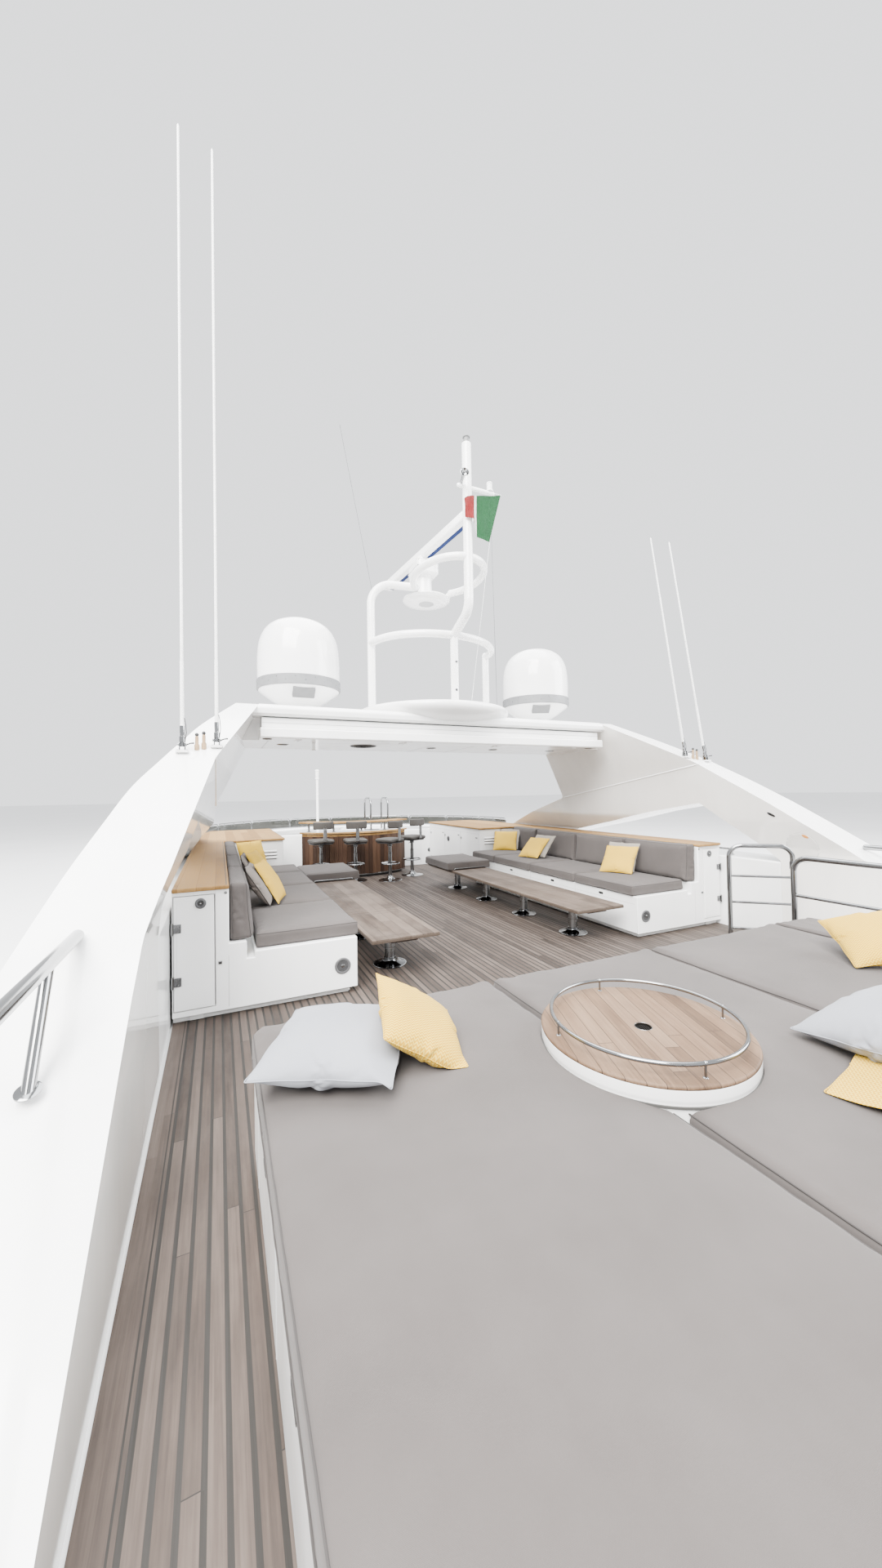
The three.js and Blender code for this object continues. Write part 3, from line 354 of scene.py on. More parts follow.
# dark seam strips; round the pad table's drum it is a painted contact shadow
RUBBER_AND_SHADE = plastic("seam_rubber_and_shade", (0.05, 0.048, 0.045), 0.7)
BRASS = plastic("amber_mark", (0.62, 0.25, 0.05), 0.4)
VINYL_SEAM = plastic("stool_seam", (0.020, 0.019, 0.018), 0.6)
LINEN = fabric("pillow_cream", (0.245, 0.221, 0.187), (0.200, 0.178, 0.150), weave=0.0026, strength=0.5, sheen=0.3)
TABLE_EDGE = teak("teak_edge", (0.030, 0.0205, 0.015), (0.056, 0.041, 0.031), (0.086, 0.066, 0.052), pitch=0.5, seam=0.0004, rough=(0.5, 0.7), wear=0.6, seam_depth=0.1)
SEAM = plastic("seam_line", (0.016, 0.0115, 0.009), 0.7)
# near-black base colour: a painted dark reflection in the polished pedestal flares
POLISHED_DARK_REFLECTION = steel("stainless_polished_dark_reflection", (0.085, 0.087, 0.09), (0.05, 0.11))
BRUSHED = steel("stainless_brushed", (0.25, 0.254, 0.258), (0.24, 0.34))


# ------------------------------------------------------------------ mesh helpers, in millimetres above the deck
def bevel_sharp(bm, width, seg=2, angle=28.0):
    if width <= 0:
        return
    bm.normal_update()
    edges = [e for e in bm.edges if len(e.link_faces) == 2 and e.calc_face_angle(0) > math.radians(angle)]
    if edges:
        bmesh.ops.bevel(bm, geom=edges, offset=width, offset_type="OFFSET", segments=seg, profile=0.5,
                        affect="EDGES", clamp_overlap=True)


def arc(cx, cy, r, a0, a1, n):
    return [(cx + r * math.cos(math.radians(a0 + (a1 - a0) * i / n)),
             cy + r * math.sin(math.radians(a0 + (a1 - a0) * i / n))) for i in range(n + 1)]


def fillet(points, radius, n=6, closed=True):
    """A polygon with rounded corners. radius is one number, or one for each corner."""
    out = []
    m = len(points)
    for i, p in enumerate(points):
        r = radius[i] if isinstance(radius, (list, tuple)) else radius
        if r <= 0 or (not closed and i in (0, m - 1)):
            out.append(tuple(p))
            continue
        p = Vector(p)
        a = Vector(points[i - 1]) - p
        b = Vector(points[(i + 1) % m]) - p
        la, lb = a.length, b.length
        a.normalize()
        b.normalize()
        half = math.acos(max(-1, min(1, a.dot(b)))) / 2
        if half > math.radians(88.5):
            out.append(tuple(p))
            continue
        t = min(r / math.tan(half), la * 0.47, lb * 0.47)
        rr = t * math.tan(half)
        c = p + (a + b).normalized() * (rr / math.sin(half))
        u, w = (p + a * t) - c, (p + b * t) - c
        ang = math.pi - 2 * half
        for k in range(n + 1):
            s = k / n
            q = (u * math.sin((1 - s) * ang) + w * math.sin(s * ang)) / math.sin(ang)
            out.append(tuple(c + q))
    return out


def fillet3(points, radius, n=8):
    return [Vector(p) for p in fillet([Vector(p) for p in points], radius, n, closed=False)]


def prism(points, z0, z1, bevel=0.0, seg=2, angle=28.0):
    bm = bmesh.new()
    lo = [bm.verts.new((x, y, z0)) for x, y in points]
    hi = [bm.verts.new((x, y, z1)) for x, y in points]
    n = len(points)
    bm.faces.new(list(reversed(lo)))
    bm.faces.new(hi)
    for i in range(n):
        j = (i + 1) % n
        bm.faces.new((lo[i], lo[j], hi[j], hi[i]))
    bmesh.ops.recalc_face_normals(bm, faces=bm.faces)
    bevel_sharp(bm, bevel, seg, angle)
    return bm


def side(points, x0, x1, bevel=0.0, seg=2, angle=28.0):
    """Profile (y, z) drawn out along X."""
    bm = prism(points, x0, x1)
    bm.transform(Matrix(((0, 0, 1, 0), (1, 0, 0, 0), (0, 1, 0, 0), (0, 0, 0, 1))))
    bmesh.ops.recalc_face_normals(bm, faces=bm.faces)
    bevel_sharp(bm, bevel, seg, angle)
    return bm


def cross(points, y0, y1, bevel=0.0, seg=2, angle=28.0):
    """Section (x, z) drawn out along Y."""
    bm = prism(points, y0, y1)
    bm.transform(Matrix(((1, 0, 0, 0), (0, 0, 1, 0), (0, 1, 0, 0), (0, 0, 0, 1))))
    bmesh.ops.recalc_face_normals(bm, faces=bm.faces)
    bevel_sharp(bm, bevel, seg, angle)
    return bm


def box(x0, x1, y0, y1, z0, z1, bevel=3.0, seg=2):
    return prism([(x0, y0), (x1, y0), (x1, y1), (x0, y1)], z0, z1, bevel, seg)


def lathe(profile, x=0.0, y=0.0, n=48):
    """Profile (radius, z) turned about an upright axis."""
    bm = bmesh.new()
    rows = []
    for r, z in profile:
        if r < 1e-6:
            rows.append([bm.verts.new((x, y, z))])
        else:
            rows.append([bm.verts.new((x + r * math.cos(2 * math.pi * i / n), y + r * math.sin(2 * math.pi * i / n), z))
                         for i in range(n)])
    for a, b in zip(rows, rows[1:]):
        for i in range(n):
            j = (i + 1) % n
            if len(a) == 1 and len(b) == 1:
                continue
            if len(a) == 1:
                bm.faces.new((a[0], b[i], b[j]))
            elif len(b) == 1:
                bm.faces.new((a[i], a[j], b[0]))
            else:
                bm.faces.new((a[i], a[j], b[j], b[i]))
    bmesh.ops.recalc_face_normals(bm, faces=bm.faces)
    return bm


def frames(pts):
    """A steady pair of side directions at each point of a route."""
    pts = [Vector(p) for p in pts]
    tang = []
    for i in range(len(pts)):
        a = pts[max(i - 1, 0)]
        b = pts[min(i + 1, len(pts) - 1)]
        tang.append((b - a).normalized())
    ref = Vector((0, 0, 1)) if abs(tang[0].z) < 0.9 else Vector((1, 0, 0))
    u = (ref - tang[0] * ref.dot(tang[0])).normalized()
    out = []
    for i, t in enumerate(tang):
        if i:
            q = tang[i - 1].rotation_difference(t)
            u = q @ u
            u = (u - t * u.dot(t)).normalized()
        out.append((pts[i], u.copy(), t.cross(u)))
    return out


def tube(pts, r, n=16, closed=False, cap=True):
    """A round bar along a route. r is one number, or one for each point."""
    bm = bmesh.new()
    fr = frames(pts)
    if closed:
        pts = [Vector(p) for p in pts]
        m = len(pts)
        normal = sum(((pts[i] - pts[0]).cross(pts[(i + 1) % m] - pts[0]) for i in range(m)), Vector()).normalized()
        fr = []
        for i in range(m):
            t = (pts[(i + 1) % m] - pts[i - 1]).normalized()
            fr.append((pts[i], normal, t.cross(normal)))
    rings = []
    for i, (p, u, w) in enumerate(fr):
        ri = r[i] if isinstance(r, (list, tuple)) else r
        rings.append([bm.verts.new(p + (u * math.cos(2 * math.pi * k / n) + w * math.sin(2 * math.pi * k / n)) * ri)
                      for k in range(n)])
    pairs = list(zip(rings, rings[1:])) + ([(rings[-1], rings[0])] if closed else [])
    for a, b in pairs:
        for k in range(n):
            j = (k + 1) % n
            bm.faces.new((a[k], a[j], b[j], b[k]))
    if cap and not closed:
        bm.faces.new(list(reversed(rings[0])))
        bm.faces.new(rings[-1])
    bmesh.ops.recalc_face_normals(bm, faces=bm.faces)
    return bm


def ring(cx, cy, cz, big, small, n=64, m=12, axis="z"):
    pts = []
    for i in range(n):
        a = 2 * math.pi * i / n
        c, s = big * math.cos(a), big * math.sin(a)
        pts.append({"z": (cx + c, cy + s, cz), "y": (cx + c, cy, cz + s), "x": (cx, cy + c, cz + s)}[axis])
    return tube(pts, small, m, closed=True)


def disc(at, direction, profile, n=32):
    """A turned piece (radius, height) standing at a point, facing a direction."""
    bm = lathe(profile, n=n)
    q = Vector((0, 0, 1)).rotation_difference(Vector(direction).normalized())
    bm.transform(Matrix.Translation(at) @ q.to_matrix().to_4x4())
    return bm


def ball(x, y, z, r, n=16):
    bm = bmesh.new()
    bmesh.ops.create_uvsphere(bm, u_segments=n, v_segments=max(6, n // 2), radius=r)
    bm.transform(Matrix.Translation((x, y, z)))
    return bm


def node_copy(node, bevel=0.0, seg=2, angle=30.0):
    """The node's own faces, flat triangles joined and sharp edges rounded, in millimetres above the deck."""
    bm = bmesh.new()
    bm.from_mesh(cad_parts[node].data)
    bm.transform(MM.inverted())
    bmesh.ops.remove_doubles(bm, verts=bm.verts, dist=0.05)
    bmesh.ops.dissolve_limit(bm, angle_limit=math.radians(0.6), verts=bm.verts, edges=bm.edges)
    bmesh.ops.recalc_face_normals(bm, faces=bm.faces)
    bevel_sharp(bm, bevel, seg, angle)
    return bm


def flipped(bm):
    bm.transform(Matrix.Scale(-1, 4, (1, 0, 0)))
    bmesh.ops.reverse_faces(bm, faces=bm.faces)
    return bm


class Part:
    """Collects shells in millimetres above the deck and makes one piece of them."""

    def __init__(self):
        self.bm = bmesh.new()
        self.mats = []

    def add(self, bm, mat, matrix=None):
        if mat not in self.mats:
            self.mats.append(mat)
        i = self.mats.index(mat)
        for f in bm.faces:
            f.material_index = i
        if matrix is not None:
            bm.transform(matrix)
        me = bpy.data.meshes.new("scratch")
        bm.to_mesh(me)
        bm.free()
        self.bm.from_mesh(me)
        bpy.data.meshes.remove(me)
        return self

    def done(self, name, slot, replaces=(), body=DECK, angle=34.0, weighted=True, place=None, shift=None):
        if shift is not None:
            self.bm.transform(shift)
        self.bm.transform(MM)
        me = bpy.data.meshes.new(name)
        for m in self.mats:
            me.materials.append(m)
        if place is not None:                  # keep the piece's own directions in its object coordinates
            self.bm.transform(place.inverted())
        self.bm.to_mesh(me)
        self.bm.free()
        me.polygons.foreach_set("use_smooth", [True] * len(me.polygons))
        me.set_sharp_from_angle(angle=math.radians(angle))
        me.update()
        ob = bpy.data.objects.new(name, me)
        COL.objects.link(ob)
        if place is not None:
            ob.matrix_world = place
        if weighted:
            w = ob.modifiers.new("weighted", "WEIGHTED_NORMAL")
            w.keep_sharp = True
        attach(ob, body)
        if replaces:
            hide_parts(*replaces)
        return ob


def both_sides(build):
    """build(side name, flip) makes one side; flip turns port geometry into starboard geometry."""
    for name, flip in (("port", False), ("starboard", True)):
        build(name, (lambda bm: flipped(bm)) if flip else (lambda bm: bm))


GAP = 0.3
BEAM_UNDER, BEAM_TOP = 2091, 2440
UNIT_AFT, UNIT_FWD = -1784, 1790
SEAT_FRONT = 1472
CABINET_IN, CABINET_OUT, CABINET_TOP = 2390, 2746, 892
BASE_TOP, SEAT_TOP = 430, 550
FORE_CABINET_IN, LEDGE_TOP = 1612, 508
SPA_AFT = 4215
TABLE_IN, TABLE_OUT, TABLE_TOP, TABLE_AFT, LEAF = 740, 1340, 360, -1740, 940
PAD_FWD, PAD_AFT, PAD_LEFT, PAD_RIGHT = -3265, -5360, -2345, 1640
PAD_BASE_TOP, PAD_TOP = 430, 560
ROUND_X, ROUND_Y, ROUND_R, ROUND_TOP = -944.5, -4122, 391.5, 620
BAR_Y, BAR_R = 4735, 1450
SPA_TOP = 760
COAMING_TOP = 780

# ------------------------------------------------------------------ deck, coamings, planking
Part().add(node_copy("deck_moulding", 14, 3), GEL).done("deck_moulding_shell", "gelcoat", ["deck_moulding"])
Part().add(node_copy("teak_deck"), DECK_TEAK).done("deck_planking", "deck_teak", ["teak_deck"], weighted=False)
for s in ("port", "starboard"):
    Part().add(node_copy(f"{s}_coaming", 18, 3), GEL).done(f"{s}_coaming_shell", "gelcoat", [f"{s}_coaming"])

# ------------------------------------------------------------------ radar arch
LEG = [
    (-6500, -14.7, 0), (-2450, -14.7, 0), (-2450, 780.3, 30), (-2438, 800, 0),
    (-2217, 967, 120), (-1930, 1182, 300), (-1675, 1376, 26),
    (-939, 1252, 400), (-280, 1107, 600), (634, 930, 600), (1425, 780.3, 0),
    (2900, 780.3, 0), (2479, 930, 500), (1500, 1190, 900), (640, 1430, 60),
    (632, 1803, 200), (632, 2091, 120), (600, 2360, 60), (350, BEAM_TOP, 90), (-450, BEAM_TOP, 90), (-600, 2418, 120),
    (-1150, 2139, 500), (-1690, 1860, 70), (-1940, 1700, 160), (-2419, 1395, 500), (-3147, 888, 700), (-3612, 636, 700),
    (-4560, 120, 60), (-6500, 120, 0),
]
# outer face at each height: z, half width
LEG_OUTER = [(-20, 3240), (780, 3240), (890, 3214), (930, 3201), (1190, 3112), (1400, 3023), (1603, 2935),
             (1806, 2796), (1950, 2695), (2091, 2600), (2445, 2270)]


def crease_z(y):
    return 1533.2 - 0.1615 * y


def leg_inner(y, z):
    """Inner face of a leg: a lower frame and an upper panel that meet along a crease rising aft."""
    def frame_at(h):
        return 2605 + 0.265 * (1395 - h) - 0.0372 * (y + 2419)
    if z <= 780:
        return 2758.0
    if z <= 930:
        return 2753 + (930 - z) / 30
    if z < 1190:
        return 2753 + (frame_at(1190) - 2753) * (z - 930) / 260
    return frame_at(z) - 0.219 * max(z - crease_z(y), 0)


def along(rows, z, col):
    """Smooth look-up between the rows' heights."""
    if z <= rows[0][0]:
        return rows[0][col]
    if z >= rows[-1][0]:
        return rows[-1][col]
    for i in range(1, len(rows)):
        if z <= rows[i][0]:
            z0, z1 = rows[i - 1][0], rows[i][0]
            v0, v1 = rows[i - 1][col], rows[i][col]

            def slope(k):
                if k <= 0 or k >= len(rows) - 1:
                    return 0.0 if k <= 0 else (rows[k][col] - rows[k - 1][col]) / (rows[k][0] - rows[k - 1][0])
                d0 = (rows[k][col] - rows[k - 1][col]) / (rows[k][0] - rows[k - 1][0])
                d1 = (rows[k + 1][col] - rows[k][col]) / (rows[k + 1][0] - rows[k][0])
                return 0.0 if d0 * d1 <= 0 else 2 * d0 * d1 / (d0 + d1)
            h = z1 - z0
            t = (z - z0) / h
            m0, m1 = slope(i - 1) * h, slope(i) * h
            return ((2 * t ** 3 - 3 * t ** 2 + 1) * v0 + (t ** 3 - 2 * t ** 2 + t) * m0
                    + (-2 * t ** 3 + 3 * t ** 2) * v1 + (t ** 3 - t ** 2) * m1)


def arch_leg():
    outline = fillet([(a, b) for a, b, _ in LEG], [r for _, _, r in LEG], 6)
    bm = side(outline, -1, 1)
    levels = [-14 + 40 * i for i in range(63)]
    for z in levels:
        bmesh.ops.bisect_plane(bm, geom=bm.verts[:] + bm.edges[:] + bm.faces[:], plane_co=(0, 0, z), plane_no=(0, 0, 1))
    bmesh.ops.bisect_plane(bm, geom=bm.verts[:] + bm.edges[:] + bm.faces[:], plane_co=(0, 0, crease_z(0)), plane_no=(0, 0.1615, 1))
    for v in bm.verts:
        v.co.x = -leg_inner(v.co.y, v.co.z) if v.co.x > 0 else -along(LEG_OUTER, v.co.z, 1)
    bmesh.ops.remove_doubles(bm, verts=bm.verts, dist=0.02)
    bmesh.ops.recalc_face_normals(bm, faces=bm.faces)
    bevel_sharp(bm, 9, 3, 50)
    return bm


def on_leg(profile, y, z, ry=1.0, rz=1.0, tilt=0.0, n=64):
    """A low round form on the starboard leg's inner face. profile: radius, height over the face."""
    bm = bmesh.new()
    c, q = math.cos(math.radians(tilt)), math.sin(math.radians(tilt))
    rings = []
    for r, h in profile:
        row = []
        for i in range(1 if r == 0 else n):
            a = 2 * math.pi * i / n
            u, w = r * ry * math.cos(a), r * rz * math.sin(a)
            Y, Z = y + u * c - w * q, z + u * q + w * c
            row.append(bm.verts.new((leg_inner(Y, Z) - h, Y, Z)))
        rings.append(row)
    for a, b in zip(rings, rings[1:]):
        for i in range(n):
            j = (i + 1) % n
            if len(a) == 1:
                bm.faces.new((a[0], b[j], b[i]))
            else:
                bm.faces.new((a[i], a[j], b[j], b[i]))
    bmesh.ops.recalc_face_normals(bm, faces=bm.faces)
    return bm


def arch_side(name, f):
    p = Part()
    leg = arch_leg()
    p.add(f(leg), GEL)
    inner = p.bm
    # the polished inner faces take a warmer white: a painted warm reflection of the teak they face
    p.mats.append(GEL_WARM)
    s = -1 if name == "port" else 1
    inner.normal_update()
    for face in inner.faces:
        if face.normal.x * -s > 0.72:
            face.material_index = 1
    # rounded bead along the crease
    bead = [(s * (leg_inner(y, crease_z(y)) + 2), y, crease_z(y)) for y in range(-1745, 631, 25)]
    p.add(tube(bead, [2.0] + [8.5] * (len(bead) - 2) + [2.0], 12), GEL)
    # hand rails on the coaming in the open triangle
    for y0, y1 in ((-1830, -520), (-380, 830)):
        zt = COAMING_TOP + 62
        pts = fillet3([(0, y0, COAMING_TOP - 5), (0, y0, zt), (0, y1, zt), (0, y1, COAMING_TOP - 5)], 55, 7)
        x = s * 2900
        pts = [Vector((x, q.y, min(q.z, zt))) for q in pts]
        if y1 > 800:
            pts = [q for q in pts]
        p.add(tube(pts, 12.5, 14), STEEL)
        for y in (y0, y1):
            p.add(lathe([(0, COAMING_TOP - 1), (27, COAMING_TOP - 1), (27, COAMING_TOP + 4), (18, COAMING_TOP + 7), (0, COAMING_TOP + 7)], x, y, 24), STEEL)
        p.add(tube([(x, (y0 + y1) / 2, COAMING_TOP - 4), (x, (y0 + y1) / 2, zt)], 9, 12), STEEL)
    if name == "starboard":                    # flush round hatch, small vent and a plain amber mark on the aft leg
        p.add(on_leg([(0, 2.6), (120, 2.6), (134, 2.4), (139, 1.6), (141, 0)], -2664, 950), GEL_SHADE_WARM)
        p.add(on_leg([(142.5, 0.4), (144.5, 1.0), (146.5, 0.4)], -2664, 950), GEL_SHADE)
        p.add(on_leg([(0, 3.4), (0.8, 3.4), (1, 2.2)], -2708, 1062, 33, 15, 24), BRASS)
        p.add(on_leg([(0, 1.0), (0.72, 1.0), (0.8, 5.0), (0.92, 5.0), (1, 0)], -2438, 1268, 42, 13, 28), SATIN)
        # dark oval inside the vent frame: painted shade of the opening
        p.add(on_leg([(0, 2.2), (0.7, 2.2), (0.72, 0)], -2438, 1268, 42, 13, 28), DARK)
    p.done(f"{name}_arch_leg_shell", "gelcoat", [f"{name}_arch_leg"], angle=30)


both_sides(arch_side)

# cross-beam with plinth, lights and speakers under it
p = Part()
span = side(fillet([(-415, BEAM_UNDER), (560, BEAM_UNDER), (595, 2190), (570, 2360), (350, BEAM_TOP), (-450, BEAM_TOP), (-610, 2422),
                    (-662, 2385), (-655, 2325), (-610, 2308), (-415, 2308)],
                   [6, 40, 120, 60, 120, 90, 60, 34, 14, 10, 0], 6), -1, 1)
for v in span.verts:
    v.co.x = math.copysign(leg_inner(v.co.y, v.co.z) - 0.35, v.co.x)
p.add(span, GEL)
plinth = [(0, 2340), (700, 2340), (800, 2378), (862, 2408), (905, 2440), (926, 2468), (933, 2492), (931, 2514), (918, 2532),
          (895, 2542), (860, 2545.2), (0, 2545.2)]
p.add(lathe(plinth, 0, 30, 96), GEL)
for x in (-1815, -65, 815, 1720):
    p.add(disc((x, -40, BEAM_UNDER + 1), (0, 0, -1), [(0, 0), (62, 0), (62, 4), (54, 7), (46, 6), (0, 6)]), SATIN)
    p.add(disc((x, -40, BEAM_UNDER - 5), (0, 0, -1), [(0, 0), (43, 0), (43, 1.5), (0, 2.5)]), GRILLE)
p.add(disc((-935, -90, BEAM_UNDER + 1), (0, 0, -1), [(0, 0), (148, 0), (148, 5), (138, 10), (0, 10)], 56), DARK)
for r in (30, 58, 86, 114):
    p.add(ring(-935, -90, BEAM_UNDER - 10, r, 2.2, 48, 6), DARK)
for x in (-1995, -175, 355, 1995):
    p.add(box(x - 2, x + 2, -400, 520, BEAM_UNDER - 0.8, BEAM_UNDER + 3, 0), RUBBER_AND_SHADE)
p.add(disc((-1541, -360, BEAM_UNDER + 1), (0, 0, -1), [(0, 0), (24, 0), (24, 5), (15, 8), (14, 70), (19, 78), (24, 82), (22, 88), (0, 90)], 20), GEL)
for x in (-2018, 1950):
    p.add(disc((x, -560, BEAM_UNDER + 1), (0, 0, -1), [(0, 0), (46, 0), (46, 4), (38, 7), (0, 7)], 28), GRILLE)
p.add(disc((150, -640, 2405), (0, -1, 0.3), [(0, 0), (13, 0), (13, 4), (0, 6)], 16), SATIN)
p.done("arch_beam_shell", "gelcoat", ["arch_crossbeam"])

# awning cassette: box with a longer front bar
p = Part()
p.add(side(fillet([(-415.3, 2296), (-590, 2296), (-600, 2286), (-600, 2200), (-590, 2196), (-415.3, 2196)], [0, 8, 8, 4, 3, 0], 4), -2070, 2070, 2, 2), GEL)
p.add(side(fillet([(-415.3, 2191), (-650, 2191), (-660, 2180), (-660, 2104), (-648, BEAM_UNDER), (-415.3, BEAM_UNDER)], [0, 10, 10, 10, 10, 0], 4), -2085, 2098, 2, 2), GEL)
p.add(side([(-420, 2186), (-585, 2186), (-585, 2200), (-420, 2200)], -2060, 2060), RUBBER_AND_SHADE)
p.add(side([(-603, 2243), (-599, 2243), (-599, 2246), (-603, 2246)], -2068, 2068), GEL_SHADE)
for x in (-2066, 2066):
    p.add(side(fillet([(-430, 2285), (-588, 2285), (-588, 2206), (-430, 2206)], 10, 4), x - 6, x + 6, 2, 2), GEL_SHADE)
for x in (-1720, -600, 600, 1720):
    p.add(box(x - 28, x + 28, -560, -420, BEAM_UNDER - 7, BEAM_UNDER + 2, 3), GEL)
    p.add(disc((x, -500, BEAM_UNDER - 6), (0, 0, -1), [(0, 0), (9, 0), (9, 3), (0, 4)], 16), SATIN)
p.done("awning_cassette_shell", "gelcoat", ["awning_cassette"])

# ------------------------------------------------------------------ mast, radar platform, scanner
RADAR = dict(x=0, y=270, length=2200, rest=-84)
R = 43
ZP = 2545.3
p = Part()
p.add(tube(fillet3([(-780, 53, ZP - 2), (-780, 53, 4066), (-225, 0, 4076)], 345, 16), R + 4, 24), GEL)
p.add(tube([(780, 53, ZP - 2), (780, 53, 3345)], R, 24), GEL)
p.add(tube([(780 * math.cos(math.pi + math.pi * i / 28), 53 + 653 * math.sin(math.pi + math.pi * i / 28), 3332) for i in range(29)], R, 24), GEL)
p.add(tube([(0, -600, ZP - 2), (0, -600, 3340)], R + 2, 24), GEL)
p.add(tube(fillet3([(0, -600, 3332), (10, -953, 3500), (10, -953, 5300)], 190, 16), R + 8, 28), GEL)
p.add(ball(780, 53, 3338, R + 3, 24), GEL)
p.add(ball(-780, 53, 3332, R + 3, 24), GEL)
p.add(ball(0, -600, 3336, R + 6, 24), GEL)
hoop = [(20 + 385 * math.cos(math.radians(52 - i * 284 / 48)), -420 + 530 * math.sin(math.radians(52 - i * 284 / 48)), 4076) for i in range(49)]
p.add(tube(hoop, R - 1, 24), GEL)
p.add(tube([(-217, -3, 4076), (-190, 110, 3998)], R - 8, 20), GEL)
p.add(tube([(257, -3, 4076), (190, 110, 3998)], R - 8, 20), GEL)
p.add(ball(-217, -3, 4076, R + 4, 20), GEL)
p.add(ball(257, -3, 4076, R, 20), GEL)
for x, y in ((-780, 53), (780, 53), (0, -600)):
    p.add(lathe([(R - 2, ZP + 14), (R + 7, ZP + 9), (R + 14, ZP), (R + 30, ZP), (R + 30, ZP - 1.5), (R - 2, ZP - 1.5)], x, y, 36), GEL)
    for a in range(0, 360, 60):
        t = math.radians(a + 20)
        p.add(lathe([(0, ZP), (6, ZP), (6, ZP + 4), (3, ZP + 6), (0, ZP + 6)], x + 62 * math.cos(t), y + 62 * math.sin(t), 10), STEEL)
p.add(lathe([(0, 3966), (120, 3967), (210, 3974), (262, 3984), (296, 3999), (303, 4010), (300, 4020), (286, 4029), (262, 4032), (0, 4032)], 0, 190, 72), GEL)
p.add(disc((0, 190, 3967.5), (0, 0, -1), [(0, 0), (98, 0), (98, 1.6), (94, 2.4), (0, 2.4)], 40), GEL_SHADE)
# gearbox
p.add(lathe([(0, 4020), (150, 4020), (156, 4030), (150, 4066), (116, 4106), (106, 4140), (103, 4330), (118, 4350), (0, 4350)], 0, 270, 48), GEL)
p.add(prism(fillet([(-150, 80), (150, 80), (150, 460), (-150, 460)], 60, 8), 4348, 4496, 16, 4), GEL)
p.add(lathe([(0, 4490), (128, 4490), (122, 4508), (96, 4520), (60, 4522), (0, 4522)], 0, 270, 48), GEL)
p.add(box(-152.5, 152.5, 90, 450, 4418, 4424, 1), GEL_SHADE)
for x in (-128, 128):
    for y in (104, 436):
        p.add(lathe([(0, 4494), (9, 4494), (9, 4500), (0, 4502)], x, y, 12), STEEL)
# masthead: cross bar, navigation light, horn, wind vane arm
p.add(tube([(-90, -953, 4830), (330, -953, 4830)], 22, 16), GEL)
p.add(ball(-90, -953, 4830, 22, 16), GEL)
p.add(ball(330, -953, 4830, 22, 16), GEL)
p.add(lathe([(0, 5296), (40, 5296), (46, 5302), (46, 5314), (30, 5318), (30, 5366), (40, 5369), (40, 5375), (24, 5380), (0, 5380)], 10, -953, 28), HATCH)
p.add(lathe([(0, 4848), (40, 4848), (40, 4860), (30, 4866), (30, 4930), (34, 4934), (30, 4946), (0, 4950)], 290, -953, 24), WHIP)
p.add(disc((-70, -975, 4850), (-0.25, -1, 0.05), [(0, 0), (14, 0), (15, 60), (20, 110), (34, 150), (46, 165), (43, 166), (30, 152), (0, 120)], 24), STEEL)
p.add(tube([(-30, -953, 4851), (-70, -962, 4851)], 9, 10), STEEL)
# small fittings on the poles: inspection plate, rope cleat
p.add(disc((0, -600 - 44, 2700), (0, -1, 0), [(0, 0), (15, 0), (15, 3), (0, 4)], 18), SATIN)
p.add(box(-12, 12, -660, -642, 3010, 3026, 2), SATIN)
p.done("mast_shell", "gelcoat", ["mast_frame"])

# taut stays and the ensign halyard
def wires():
    q = Part()
    q.add(tube([(-780, 0, 3960), (-1210, -300, 5600)], 2.6, 8), SATIN)
    q.add(tube([(322, -976, 4826), (392, -1027, 4793)], 2.2, 8), WHIP)
    q.add(tube([(236, -1027, 4238), (228, -560, 2548)], 2.2, 8), WHIP)
    q.add(tube([(300, -950, 4835), (905, -20, 2512)], 2.6, 8), SATIN)
    q.done("mast_stays", "stainless")


# scanner bar with rounded ends and a dark blue lower edge
p = Part()
half = RADAR["length"] / 2
sec = fillet([(-60, 4575), (60, 4575), (66, 4600), (52, 4690), (36, 4712), (-36, 4712), (-52, 4690), (-66, 4600)], 12, 4)
p.add(cross(sec, -half, half, 14, 3, 60), GEL)
p.add(cross(fillet([(2, 4573.5), (57, 4573.5), (61.5, 4579), (65.2, 4598), (50, 4598), (2, 4580)], 2, 2), -half + 60, half - 60, 0.8, 2), BLUE)
p.add(lathe([(0, 4524), (70, 4524), (74, 4530), (88, 4552), (90, 4572), (90, 4600), (0, 4600)], 0, 0, 40), GEL)
turn = Matrix.Translation((RADAR["x"], RADAR["y"], 0)) @ Matrix.Rotation(math.radians(RADAR["rest"] + 90), 4, "Z")
p.done("radar_scanner_bar", "gelcoat", ["radar_scanner"], body="radar_scanner", shift=turn)

